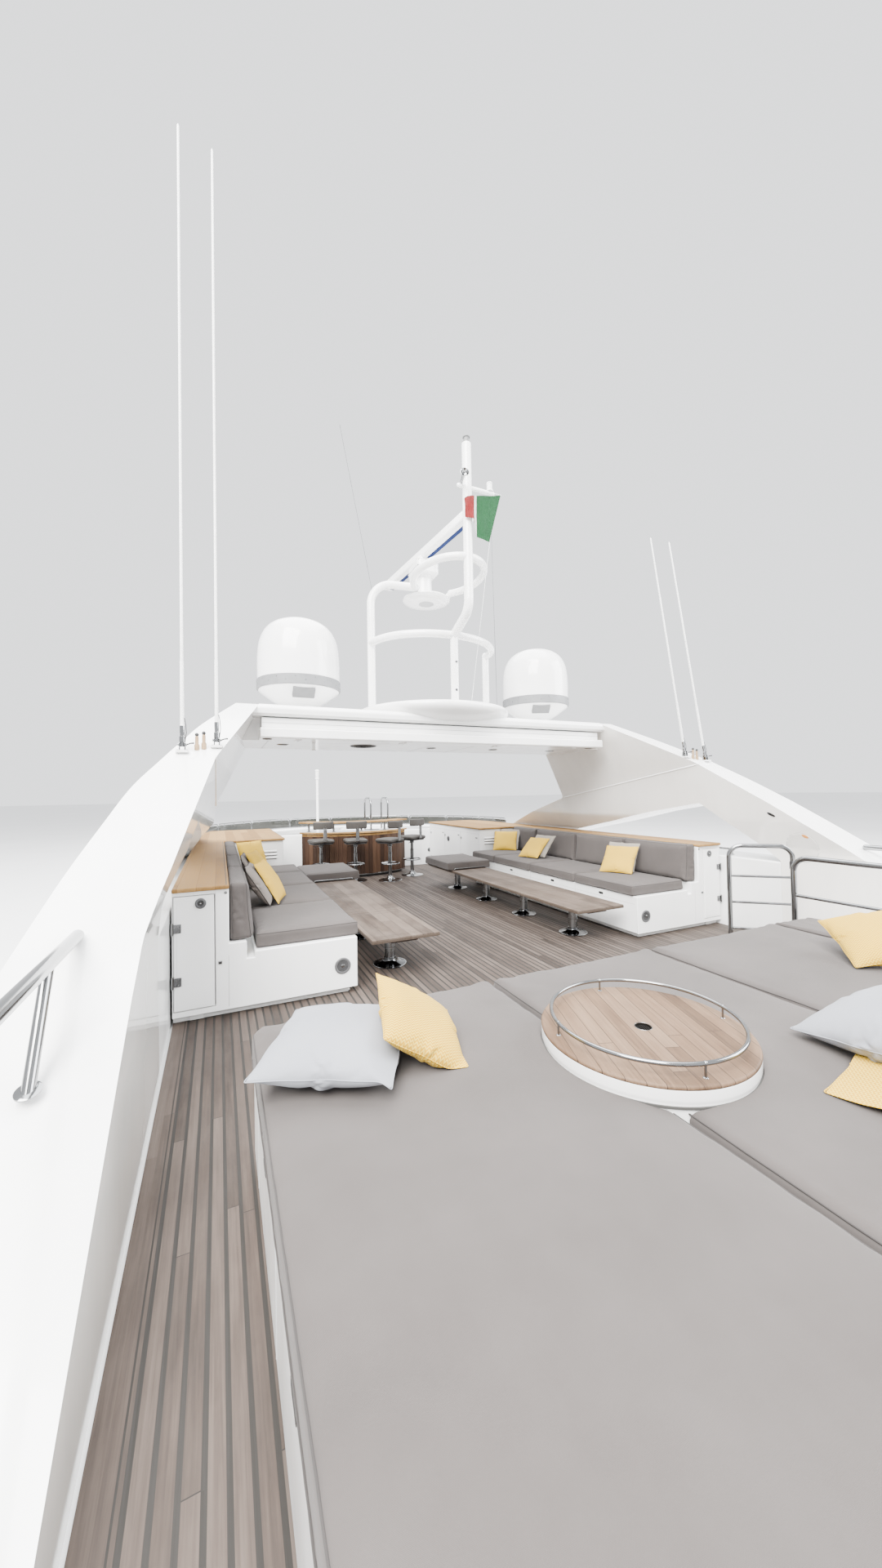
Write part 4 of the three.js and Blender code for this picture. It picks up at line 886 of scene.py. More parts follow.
# ------------------------------------------------------------------ satellite domes
for name, x in (("port", -1608), ("starboard", 1628)):
    p = Part()
    dome = [(449, 2820), (450, 2990), (448, 3080), (442, 3165), (430, 3243), (408, 3312), (376, 3374), (332, 3426),
            (277, 3466), (212, 3495), (140, 3512), (70, 3519), (0, 3520)]
    p.add(lathe([(0, 2818), (449, 2818)] + dome, x, 138, 96), GEL)
    p.add(lathe([(432, 2712), (456, 2715), (458.5, 2722), (458.5, 2814), (456, 2820), (432, 2821)], x, 138, 96), BAND)
    p.add(lathe([(0, 2540), (196, 2540), (215, 2547), (308, 2603), (424, 2690), (440, 2706), (440, 2718), (0, 2718)], x, 138, 96), GEL)
    p.add(lathe([(0, BEAM_TOP + GAP), (222, BEAM_TOP + GAP), (222, 2452), (190, 2462), (186, 2480), (186, 2530), (200, 2546), (0, 2546)], x, 138, 64), GEL)
    for i in range(28):
        a = 2 * math.pi * i / 28
        p.add(disc((x + 457.5 * math.cos(a), 138 + 457.5 * math.sin(a), 2792 - 36 * (i % 2)), (math.cos(a), math.sin(a), 0),
                   [(0, 0), (6.5, 0), (5, 2.6), (0, 3.4)], 10), SATIN)
    for i in range(8):
        a = 2 * math.pi * (i + 0.5) / 8
        p.add(lathe([(0, 2452), (10, 2452), (10, 2460), (6, 2465), (0, 2465)], x + 205 * math.cos(a), 138 + 205 * math.sin(a), 12), STEEL)
    # access hatch on the bowl, facing aft
    t = math.radians(-91 if x < 0 else -114)
    d = Vector((math.cos(t), math.sin(t), 0))
    n = (d * math.cos(math.radians(50)) + Vector((0, 0, -math.sin(math.radians(50))))).normalized()
    c = Vector((x, 138, 2638)) + d * 362
    wide = Vector((-d.y, d.x, 0))
    tall = n.cross(wide)
    m = Matrix((wide.to_4d(), tall.to_4d(), n.to_4d(), Vector((0, 0, 0, 1)))).transposed()
    m.translation = c
    for i in range(3):
        m[3][i] = 0
    hb = prism(fillet([(-116, -66), (116, -66), (116, 66), (-116, 66)], 10, 4), -30, 14, 3, 2)
    p.add(hb, HATCH, m)
    p.done(f"{name}_radome_shell", "gelcoat", [f"{name}_radome"])

# ------------------------------------------------------------------ whip antennas on folding mounts
for name, s, whips in (("port", -1, ((2680, -1690, 0, 4500), (2460, -1600, 0, 4500))),
                       ("starboard", 1, ((2680, -1690, 520, 2500), (2460, -1600, 480, 2500)))):
    p = Part()
    for x, y, lean, length in whips:
        z = 1861 + max(y + 1690, 0) * 0.52
        foot = Vector((s * x, y, z + 13))
        top = Vector((s * (x - lean), y, z + length))
        d = (top - foot).normalized()
        p.add(prism(fillet([(s * x - 42, y - 50), (s * x + 42, y - 50), (s * x + 42, y + 50), (s * x - 42, y + 50)], 14, 4), z - 8, z + 9, 3, 2), WHIP)
        for dx in (-28, 28):
            for dy in (-36, 36):
                p.add(lathe([(0, z + 8), (7, z + 8), (7, z + 12), (0, z + 14)], s * x + dx, y + dy, 10), STEEL)
        for dx in (-17, 17):
            p.add(side(fillet([(y - 24, z + 5), (y + 24, z + 5), (y + 20, z + 62), (y, z + 76), (y - 20, z + 62)], 8, 3), s * x + dx - 4, s * x + dx + 4, 1.5, 2), STEEL)
        p.add(disc((s * x - 30, y, z + 50), (1, 0, 0), [(0, 0), (10, 0), (10, 60), (0, 60)], 16), STEEL)
        p.add(tube([(s * x + 28, y - 6, z + 50), (s * x + 52, y - 20, z + 58), (s * x + 74, y - 26, z + 60)], [5, 5, 7], 10), DARK)
        q = [foot + d * t for t in (22, 52, 54, 92, 96, 116, 122, 170, 175, 620, 640, 1500, length - 20, length - 6)]
        rr = [15, 15, 20, 20, 15, 15, 16.5, 16.5, 13, 12.5, 10.5, 9.5, 7.5, 3]
        p.add(tube(q[:8], rr[:8], 16), STEEL)
        p.add(tube(q[7:], rr[7:], 16), WHIP)
        # looped tail of the lead clipped to the ferrule, and a short stub beside it
        p.add(tube([foot + d * 60 + Vector((18, -8, 0)), foot + d * 120 + Vector((26, -12, 0)), foot + d * 180 + Vector((22, -8, 0)),
                    foot + d * 225 + Vector((14, -3, 0))], 2.8, 8), DARK)
    for i, x in enumerate((2590, 2545)):
        z = 1880 + i * 14
        y = -1650 + i * 14
        p.add(tube([(s * x, y, z - 10), (s * x, y, z + 34), (s * x, y, z + 42), (s * x, y, z + 92), (s * x, y, z + 98)], [17, 17, 12, 12, 7], 14), TAN)
        p.add(ball(s * x, y, z + 108, 14, 14), DARK)
    p.done(f"{name}_antenna_set", "antenna_white", [f"{name}_antennas"])

# ------------------------------------------------------------------ ensign
def ensign():
    cols, rows = 60, 44
    # upper and lower edge of the cloth from the hoist to the fly: x, y, z
    upper = [(386, -1027, 4790), (240, -1030, 4748), (95, -1026, 4712), (20, -1034, 4702), (-30, -1027, 4682), (-56, -1020, 4664)]
    lower = [(233, -1027, 4243), (165, -1024, 4254), (84, -1028, 4268), (40, -1033, 4450), (-20, -1027, 4456), (-50, -1020, 4458)]

    def on(row, u):
        k = min(int(u * 5), 4)
        t = u * 5 - k
        e = t * t * (3 - 2 * t) * 0.3 + t * 0.7
        return Vector(row[k]).lerp(Vector(row[k + 1]), e)
    bm = bmesh.new()
    grid = []
    for j in range(rows + 1):
        v = j / rows
        line = []
        for i in range(cols + 1):
            u = i / cols
            q = on(upper, u).lerp(on(lower, u), v)
            fold = 6.5 * math.sin(u * 13.0 + v * 2.2) * (0.3 + 0.7 * min(u * 3, 1)) + 4 * math.sin(v * 8.0 - u * 5.0) * min(u * 2, 1)
            line.append(bm.verts.new((q.x, q.y + fold, q.z)))
        grid.append(line)
    for j in range(rows):
        for i in range(cols):
            bm.faces.new((grid[j][i], grid[j][i + 1], grid[j + 1][i + 1], grid[j + 1][i]))
    bmesh.ops.solidify(bm, geom=bm.faces[:], thickness=1.2)
    bmesh.ops.recalc_face_normals(bm, faces=bm.faces)
    q = Part()
    q.add(bm, FLAG)
    ob = q.done("ensign", "flag_cloth", ["flag"], weighted=False, angle=80)


ensign()
wires()

# ------------------------------------------------------------------ side units: sofa bases and cabinets
def speaker(p, at, d, r=62):
    p.add(disc(at, d, [(0, 0), (r, 0), (r, 5), (r - 6, 9), (r - 14, 9.5), (r - 17, 6), (0, 6)], 40), GRILLE)
    for k in (0.36, 0.5, 0.63):
        n = disc(at, d, [(r * k - 1.6, 6), (r * k + 1.6, 6), (r * k + 1.2, 8), (r * k - 1.2, 8), (r * k - 1.6, 6)], 40)
        p.add(n, DARK)
    p.add(disc(at, d, [(0, 5), (r * 0.26, 5), (r * 0.24, 9), (r * 0.16, 12), (0, 13)], 24), STEEL)


def slot_pull(p, at, d, w=60, h=15):
    """A small oval pull: a bright rim round a dark oval, which is painted shade standing for the opening."""
    n = Vector(d).normalized()
    wide = Vector((0, 0, 1)).cross(n).normalized()
    m = Matrix((wide.to_4d(), Vector((0, 0, 1, 0)), n.to_4d(), Vector((0, 0, 0, 1)))).transposed()
    for i in range(3):
        m[3][i] = 0
    m.translation = Vector(at)

    def stadium(a, b):
        return fillet([(-a / 2, -b / 2), (a / 2, -b / 2), (a / 2, b / 2), (-a / 2, b / 2)], b * 0.49, 6)
    p.add(prism(stadium(w + 10, h + 10), -1, 2.2, 0.8, 2), SATIN, m)
    # dark oval: painted shade in place of the opening
    p.add(prism(stadium(w, h), 0, 2.6, 0), DARK, m)


def keep_unit(e):
    for v in e.verts:
        c = v.co
        if abs(c.x) > 2400 and c.y < -1150 and c.z < 850 and not (c.z > 100 and c.y < -1780 and abs(c.x) < 2400):
            return False
        if abs(abs(c.x) - 2745) < 4:
            return False
    return True


def side_unit(name, f):
    s = -1 if name == "port" else 1
    p = Part()
    bm = node_copy(f"{name}_side_unit")
    bm.normal_update()
    edges = [e for e in bm.edges if len(e.link_faces) == 2 and e.calc_face_angle(0) > math.radians(28) and keep_unit(e)]
    bmesh.ops.bevel(bm, geom=edges, offset=9, offset_type="OFFSET", segments=3, profile=0.5, affect="EDGES", clamp_overlap=True)
    p.add(bm, GEL)
    # speakers on the aft end and on the cabinet wall by the bar
    speaker(p, (s * 1590, UNIT_AFT + 0.5, 222), (0, -1, 0))
    speaker(p, (s * (FORE_CABINET_IN - 0.5), 3050, 640), (-s, 0, 0), 52)
    # pulls of the lockers under the seats
    for y in (-1261, -380, 593, 1280):
        slot_pull(p, (s * (SEAT_FRONT - 0.5), y, 384), (-s, 0, 0))
    for y in (-820, 110, 1070):
        p.add(box(s * SEAT_FRONT - 0.8, s * SEAT_FRONT + 0.8, y - 1.6, y + 1.6, 66, 424, 0), GEL_SHADE)
    p.add(box(s * SEAT_FRONT - 0.8, s * SEAT_FRONT + 0.8, UNIT_AFT + 30, UNIT_FWD, 349, 351.6, 0), GEL_SHADE)
    # narrow panel beside the end door, its little catch, the lock and its round escutcheon
    x0, x1 = sorted((s * 2330, s * 2400))
    p.add(box(x0 + 4, x0 + 6.4, UNIT_AFT - 0.7, UNIT_AFT + 1, 66, 424, 0), GEL_SHADE)
    p.add(box(s * 2450 - 12, s * 2450 + 12, UNIT_AFT - 8, UNIT_AFT + 1, 372, 394, 3), SATIN)
    p.add(disc((s * 2412, UNIT_AFT + 0.5, 866), (0, -1, 0), [(0, 0), (10, 0), (10, 3), (7, 5), (0, 5)], 20), STEEL)
    # white lip along the top of the toe space, small drain boxes under it
    lip = fillet([(s * 2742, UNIT_AFT + 52), (s * (SEAT_FRONT + 52), UNIT_AFT + 52), (s * (SEAT_FRONT + 52), UNIT_FWD), (s * 2742, UNIT_FWD)], 4, 2)
    p.add(prism(lip, 8, 20, 2, 2), GEL)
    for y in (-1742,):
        p.add(box(s * 2600 - 45, s * 2600 + 45, y, y + 50, 1, 34, 4), GEL)
    # forward cabinet: doors let into the inner face, with press catches
    doors = ((1835, 2520), (2530, 3215), (3225, 3910))
    for y0, y1 in doors:
        x = s * FORE_CABINET_IN
        for yy in (y0, y1):
            p.add(box(x - 0.8, x + 0.8, yy - 1.4, yy + 1.4, 92, 812, 0), GEL_SHADE)
        for zz in (92, 812):
            p.add(box(x - 0.8, x + 0.8, y0, y1, zz - 1.4, zz + 1.4, 0), GEL_SHADE)
        for yy in (y0 + 56, y0 + 92):
            p.add(disc((x - s * 0.5, yy, 742), (-s, 0, 0), [(0, 0), (12, 0), (12, 3), (8, 5), (0, 4)], 18), SATIN)
        for zz in (200, 700):
            p.add(box(x - 5, x + 5, y1 - 34, y1 + 8, zz - 20, zz + 20, 3), SATIN)
    # louvred vent in the transverse wall by the sofa's end
    for i in range(3):
        z = 640 + i * 46
        p.add(side(fillet([(UNIT_FWD - 3, z), (UNIT_FWD - 12, z + 4), (UNIT_FWD - 12, z + 12), (UNIT_FWD + 2, z + 34), (UNIT_FWD + 2, z)], 2, 2),
                   *sorted((s * 1700, s * 2020)), 1, 2), GEL)
        # dark boxes behind the slats: painted shade inside the vent
        p.add(box(*sorted((s * 1704, s * 2016)), UNIT_FWD - 2.5, UNIT_FWD + 1, z - 8, z - 1, 0), DARK)
    p.done(f"{name}_side_unit_shell", "gelcoat", [f"{name}_side_unit"])


both_sides(side_unit)


def end_door(name, f):
    s = -1 if name == "port" else 1
    p = Part()
    p.add(f(box(-2736, -2486, UNIT_AFT - 4, UNIT_AFT + 14, 91, 862, 6, 3)), GEL)
    p.add(f(prism(fillet([(-2716, UNIT_AFT - 5.2), (-2506, UNIT_AFT - 5.2), (-2506, UNIT_AFT), (-2716, UNIT_AFT)], 1, 1), 112, 842, 1, 1)), GEL)
    # round grille in the upper inboard corner
    speaker(p, (s * 2570, UNIT_AFT - 5, 808), (0, -1, 0), 36)
    # two stainless hinges: leaf, knuckle and screws
    for z in (290, 650):
        p.add(f(box(-2744, -2690, UNIT_AFT - 12, UNIT_AFT - 2, z - 30, z + 30, 3)), SATIN)
        p.add(f(tube([(-2744, UNIT_AFT - 14, z - 40), (-2744, UNIT_AFT - 14, z + 40)], 8.5, 16)), STEEL)
        for dz in (-18, 18):
            p.add(disc((s * 2706, UNIT_AFT - 12, z + dz), (0, -1, 0), [(0, 0), (5, 0), (4, 2), (0, 2.4)], 10), STEEL)
    p.done(f"{name}_locker_door", "gelcoat", [f"{name}_cabinet_door"], body=f"{name}_cabinet_door")


both_sides(end_door)

for s in ("port", "starboard"):
    p = Part()
    p.add(node_copy(f"{s}_cabinet_top", 9, 3), HONEY)
    k = -1 if s == "port" else 1
    # rope-wood border let into the top and a fiddle along the sofa's back
    p.add(box(*sorted((k * 2404, k * 2410)), UNIT_AFT, UNIT_FWD - 60, 921.2, 922.4, 0), RUBBER_AND_SHADE)
    p.add(box(*sorted((k * 1606, k * 1612)), UNIT_FWD, 3950, 921.2, 922.4, 0), RUBBER_AND_SHADE)
    p.done(f"{s}_worktop", "honey_teak", [f"{s}_cabinet_top"])


# ------------------------------------------------------------------ soft goods
def lattice(h, r, step):
    inner = h - r
    n = max(2, int(round(2 * inner / step)))
    pts = [-inner + 2 * inner * i / n for i in range(n + 1)]
    edge = [inner + r * math.tan(math.radians(a)) for a in (11.25, 22.5, 33.75, 45)]
    return [-e for e in reversed(edge)] + pts + edge


def soft_block(hx, hy, hz, r=26, crown=12, belly=0, pull=5, step=26, seed=0, wrinkle=1.6, pucker=2.2):
    """A stuffed block, crowned on top, flat below unless it has a belly, edges drawn in between the corners."""
    bm = bmesh.new()
    cache = {}
    off = Vector((seed * 7.13, seed * 3.71, seed * 1.37))

    def shape(q):
        inner = Vector((max(-hx + r, min(hx - r, q.x)), max(-hy + r, min(hy - r, q.y)), max(-hz + r, min(hz - r, q.z))))
        d = q - inner
        n = d.normalized()
        p = inner + n * r
        u, v, w = q.x / hx, q.y / hy, q.z / hz
        fx, fy = 1 - abs(u) ** 3.0, 1 - abs(v) ** 3.0
        if w > 0:
            p.z += -crown + crown * (fx * fy) ** 0.8 if w > 0.999 - 1e-9 else (-crown * w)
        else:
            p.z += belly * (1 - (fx * fy) ** 0.8) * -w
        # edges drawn in along each side, most at mid length
        p.x -= math.copysign(pull * (1 - v * v), u) * abs(u) ** 6
        p.y -= math.copysign(pull * (1 - u * u), v) * abs(v) ** 6
        # slack cloth: broad waves and small gathers that start at the seams
        g = noise.noise((p + off * 40) / 210.0) * wrinkle + noise.noise((p + off * 60) / 90.0) * wrinkle * 0.5
        dist = min(hx - abs(q.x), hy - abs(q.y)) if abs(w) > 0.99 else 0.0
        along_edge = q.y if (hx - abs(q.x)) < (hy - abs(q.y)) else q.x
        g += math.exp(-dist / 34.0) * pucker * noise.noise(Vector((along_edge / 26.0, dist / 120.0, seed * 5.1)))
        if w < -0.99 and belly == 0:
            g = 0
        return p + n * g

    def vert(a, b, c):
        key = (round(a, 3), round(b, 3), round(c, 3))
        if key not in cache:
            cache[key] = bm.verts.new(shape(Vector((a, b, c))))
        return cache[key]

    X, Y, Z = lattice(hx, r, step), lattice(hy, r, step), lattice(hz, r, max(step, 2 * (hz - r) / 2 + 1))
    for A, B, fix, pick in ((X, Y, hz, lambda a, b, c: (a, b, c)), (Y, Z, hx, lambda a, b, c: (c, a, b)), (Z, X, hy, lambda a, b, c: (b, c, a))):
        for sgn in (-1, 1):
            for i in range(len(A) - 1):
                for j in range(len(B) - 1):
                    quad = [vert(*pick(A[i], B[j], sgn * fix)), vert(*pick(A[i + 1], B[j], sgn * fix)),
                            vert(*pick(A[i + 1], B[j + 1], sgn * fix)), vert(*pick(A[i], B[j + 1], sgn * fix))]
                    bm.faces.new(quad if sgn > 0 else list(reversed(quad)))
    bmesh.ops.recalc_face_normals(bm, faces=bm.faces)
    return bm


def to_object(bm, name, scale=0.001):
    me = bpy.data.meshes.new(name)
    bm.to_mesh(me)
    me.transform(Matrix.Scale(scale, 4))
    ob = bpy.data.objects.new(name, me)
    COL.objects.link(ob)
    return ob


def from_object(ob, scale=1000.0):
    dg = bpy.context.evaluated_depsgraph_get()
    me = bpy.data.meshes.new_from_object(ob.evaluated_get(dg))
    me.transform(Matrix.Scale(scale, 4))
    bm = bmesh.new()
    bm.from_mesh(me)
    bpy.data.meshes.remove(me)
    return bm


def discard(ob):
    me = ob.data
    bpy.data.objects.remove(ob)
    bpy.data.meshes.remove(me)


def inflate(bm, voxel=0, pressure=4.0, steps=20, cap=0.0, hold=None, stiff=12.0, bend=0.4, fold=0.0):
    """Cloth under pressure; the swollen shape is read back and the simulation object removed."""
    ob = to_object(bm, "swelling")
    if voxel:
        m = ob.modifiers.new("remesh", "REMESH")
        m.mode = "VOXEL"
        m.voxel_size = voxel / 1000.0
        fine = from_object(ob)
        discard(ob)
        ob = to_object(fine, "swelling")
        fine.free()
    start = [v.co.copy() for v in ob.data.vertices]
    if hold is not None:
        group = ob.vertex_groups.new(name="held")
        for v in ob.data.vertices:
            w = hold(v.co * 1000.0)
            if w > 0:
                group.add([v.index], w, "REPLACE")
    c = ob.modifiers.new("cloth", "CLOTH")
    st = c.settings
    st.quality = 6
    st.mass = 0.3
    st.air_damping = 1.5
    st.tension_stiffness = stiff
    st.compression_stiffness = stiff
    st.shear_stiffness = stiff * 0.5
    st.bending_stiffness = bend
    st.use_pressure = True
    st.uniform_pressure_force = pressure
    st.shrink_min = fold
    st.effector_weights.gravity = 0
    if hold is not None:
        st.vertex_group_mass = "held"
    c.point_cache.frame_start = 1
    c.point_cache.frame_end = steps
    scene = bpy.context.scene
    for fr in range(1, steps + 1):
        scene.frame_set(fr)
    out = from_object(ob)
    if cap:
        out.verts.ensure_lookup_table()
        for v, s0 in zip(out.verts, start):
            d = v.co - s0 * 1000.0
            if d.length > cap:
                v.co = s0 * 1000.0 + d * (cap / d.length)
    discard(ob)
    scene.frame_set(1)
    return out


def copy_of(bm):
    return bm.copy()


def block_rim(bm, hx, hy, z, n=26, inset=4.0, out=0.0):
    """The line of the seam: the block's outline at a height, laid onto its surface."""
    from mathutils.bvhtree import BVHTree
    tree = BVHTree.FromBMesh(bm)
    pts = []
    outline = fillet([(-hx + inset, -hy + inset), (hx - inset, -hy + inset), (hx - inset, hy - inset), (-hx + inset, hy - inset)], 24, 5)
    dense = []
    for i, a in enumerate(outline):
        b = outline[(i + 1) % len(outline)]
        d = (Vector(b) - Vector(a)).length
        k = max(1, int(d / n))
        dense += [Vector(a).lerp(Vector(b), t / k) for t in range(k)]
    for q in dense:
        hit = tree.find_nearest(Vector((q.x, q.y, z)))
        pts.append(hit[0] + hit[1] * out)
    return pts


def welt(p, bm, hx, hy, z, mat, matrix, r=2.6, inset=3.0):
    p.add(tube(block_rim(bm, hx, hy, z, inset=inset), r, 8, closed=True), mat, matrix)


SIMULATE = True
SEAT_X0, SEAT_X1 = 1447, 2215
SEAT_Y = (UNIT_AFT + 35, -820, 110, 1070, UNIT_FWD - 10)
BACK_Y = (UNIT_AFT + 20, -820, 110, 1070, UNIT_FWD - 30)


def swollen_block(hx, hy, hz, seed, r=26, crown=12, voxel=13, pressure=3.0, cap=9, steps=16, **kw):
    """The block, then a short swell under pressure with its underside held."""
    bm = soft_block(hx, hy, hz, r=r, crown=crown, seed=seed, step=24, **kw)
    if SIMULATE:
        bm2 = inflate(bm, voxel=voxel, pressure=pressure, steps=steps, cap=cap, hold=lambda c: 1.0 if c.z < -hz + 12 else 0.0,
                      stiff=9.0, bend=0.25, fold=-0.012)
        bm.free()
        bm = bm2
        # back inside the room that the frame leaves
        top = max(v.co.z for v in bm.verts)
        wide = max(abs(v.co.x) for v in bm.verts)
        long_ = max(abs(v.co.y) for v in bm.verts)
        for v in bm.verts:
            if v.co.z > 0:
                v.co.z *= (hz + 3) / max(top, hz + 3)
            v.co.x *= hx / max(wide, hx)
            v.co.y *= hy / max(long_, hy)
    return bm


def soft_piece(name, parts, node, place, fill=0.85, slot="cushion_fabric", first=True):
    p = Part()
    for bm, mat in parts:
        p.add(bm, mat)
    ob = p.done(name, slot, [node] if node else (), angle=180, weighted=False, place=place)
    return ob


seat_h = (SEAT_TOP - BASE_TOP) / 2
seat_bm = swollen_block(384, 466, seat_h, 3, r=24, crown=9)
back_bm = swollen_block(208, 466, 80, 5, r=26, crown=12)


def stretched(bm, sx, sy, sz, turn=False):
    out = copy_of(bm)
    for v in out.verts:
        v.co.x *= sx
        v.co.y *= sy
        v.co.z *= sz
        if turn:
            v.co.y = -v.co.y
    if turn:
        bmesh.ops.reverse_faces(out, faces=out.faces)
    return out


def cushions(name, f):
    s = -1 if name == "port" else 1
    for i in range(4):
        # seat
        y0, y1 = SEAT_Y[i] + 2, SEAT_Y[i + 1] - 2
        hy = (y1 - y0) / 2
        b = stretched(seat_bm, 1, hy / 466, 1, turn=i % 2 == 1)
        p = Part()
        m = Matrix.Translation((s * (SEAT_X0 + SEAT_X1) / 2, (y0 + y1) / 2, BASE_TOP + GAP + seat_h))
        if s < 0:
            b2 = copy_of(b)
        else:
            b2 = flipped(copy_of(b))
        # welt tubes at the top and bottom seams, darker as painted seam shade
        p.add(tube(block_rim(b2, 384, hy, seat_h - 15, inset=2), 2.6, 8, closed=True), WELT_SHADE, m)
        p.add(tube(block_rim(b2, 384, hy, -seat_h + 13, inset=2), 2.6, 8, closed=True), WELT_SHADE, m)
        p.add(b2, GREY, m)
        b.free()
        ob = p.done(f"{name}_seat_cushion_{i + 1}", "cushion_fabric", [f"{name}_seat_cushions"], angle=180, weighted=False)
        # back
        y0, y1 = BACK_Y[i] + 2, BACK_Y[i + 1] - 2
        hy = (y1 - y0) / 2
        b = stretched(back_bm, 1, hy / 466, 1, turn=i % 2 == 0)
        rims = [tube(block_rim(b, 208, hy, zz, inset=2), 2.6, 8, closed=True) for zz in (80 - 17, -80 + 15)]
        p = Part()

        def lean(q):
            z = LEDGE_TOP + GAP + 208.5 + q.x
            t = (q.z + 80) / 160
            inner = -2220 - max(z - 560, 0) * 0.094
            return Vector((s * abs(-2385 * (1 - t) + inner * t), (y0 + y1) / 2 + q.y, z))
        for shell, mat in [(b, GREY)] + [(q, WELT_SHADE) for q in rims]:
            for v in shell.verts:
                v.co = lean(v.co)
            bmesh.ops.recalc_face_normals(shell, faces=shell.faces)
            p.add(shell, mat)
        ob = p.done(f"{name}_back_cushion_{i + 1}", "cushion_fabric", [f"{name}_back_cushions"], angle=180, weighted=False)
    # ottoman on the forward table leaf
    p = Part()
    x0, x1 = TABLE_IN - 65, TABLE_OUT + 70
    y0, y1 = TABLE_AFT + 3 * LEAF + 15, TABLE_AFT + 4 * LEAF - 10
    hx, hy, hz = (x1 - x0) / 2, (y1 - y0) / 2, 64.8
    b = stretched(seat_bm, hx / 384, hy / 466, hz / seat_h, turn=s > 0)
    m = Matrix.Translation((s * (x0 + x1) / 2, (y0 + y1) / 2, TABLE_TOP + GAP + hz))
    for zz in (hz - 16, -hz + 14):
        p.add(tube(block_rim(b, hx, hy, zz, inset=2), 2.6, 8, closed=True), WELT_SHADE, m)
    p.add(b, GREY, m)
    ob = p.done(f"{name}_ottoman", "cushion_fabric", [f"{name}_ottoman_cushion"], angle=180, weighted=False)


both_sides(cushions)
seat_bm.free()
back_bm.free()


# ------------------------------------------------------------------ sun pad
def carve(bm, cutters):
    """Takes round holes out of a closed form."""
    ob = to_object(bm, "carved")
    tools = []
    for x, y, r in cutters:
        c = lathe([(0, -900), (r, -900), (r, 900), (0, 900)], x, y, 72)
        t = to_object(c, "cutter")
        c.free()
        t.hide_render = True
        tools.append(t)
        m = ob.modifiers.new("cut", "BOOLEAN")
        m.operation = "DIFFERENCE"
        m.object = t
        m.solver = "EXACT"
    out = from_object(ob)
    discard(ob)
    for t in tools:
        discard(t)
    return out


p = Part()
base = [[PAD_LEFT + 20, PAD_AFT + 20], [PAD_RIGHT - 20, PAD_AFT + 20], [PAD_RIGHT - 20, PAD_FWD - 120], [PAD_RIGHT - 120, PAD_FWD - 20],
        [PAD_LEFT + 20, PAD_FWD - 20]]
kick = [[PAD_LEFT + 60, PAD_AFT + 60], [PAD_RIGHT - 60, PAD_AFT + 60], [PAD_RIGHT - 60, PAD_FWD - 60], [PAD_LEFT + 60, PAD_FWD - 60]]
holes = [(ROUND_X, ROUND_Y, ROUND_R + 3)]
b = prism(fillet(base, [60, 60, 60, 60, 90], 8), 80, PAD_BASE_TOP, 10, 3, 50)
p.add(carve(b, holes), GEL)
b = prism(kick, GAP, 84)
p.add(carve(b, holes), GEL_SHADE)
for y in (-4900, -4200, -3600):
    p.add(box(PAD_LEFT + 18.6, PAD_LEFT + 21, y - 1.3, y + 1.3, 96, 420, 0), GEL_SHADE)
for x in (-1140, 0, 1250):
    p.add(box(x - 1.3, x + 1.3, PAD_FWD - 21, PAD_FWD - 18.6, 96, 420, 0), GEL_SHADE)
    p.add(box(x - 1.3, x + 1.3, PAD_AFT + 18.6, PAD_AFT + 21, 96, 420, 0), GEL_SHADE)
for x in (-1740, -560, 620):
    slot_pull(p, (x, PAD_FWD - 19.5, 380), (0, 1, 0), 70, 18)
for y in (-4550, -3900):
    slot_pull(p, (PAD_LEFT + 19.5, y, 380), (-1, 0, 0), 70, 18)
p.done("sunpad_plinth", "gelcoat", ["sunpad_base"])

PANELS = ((PAD_LEFT, -1140), (-1140, 0), (0, 1250), (1250, PAD_RIGHT))
pad_hz = (PAD_TOP - PAD_BASE_TOP - GAP) / 2
pad_hy = (PAD_FWD - PAD_AFT) / 2
pad_bm = soft_block(602, pad_hy, pad_hz, r=30, crown=7, pull=4, step=30, seed=11, wrinkle=2.6, pucker=3.2)
if SIMULATE:
    q = inflate(pad_bm, voxel=19, pressure=2.4, steps=14, cap=10, hold=lambda c: 1.0 if c.z < -pad_hz + 12 else 0.0, stiff=7.0, bend=0.2, fold=-0.016)
    pad_bm.free()
    pad_bm = q
    top = max(v.co.z for v in pad_bm.verts)
    wide = max(abs(v.co.x) for v in pad_bm.verts)
    long_ = max(abs(v.co.y) for v in pad_bm.verts)
    for v in pad_bm.verts:
        v.co.z *= (pad_hz + 4) / max(top, pad_hz + 4) if v.co.z > 0 else 1
        v.co.x *= 602 / max(wide, 602)
        v.co.y *= pad_hy / max(long_, pad_hy)
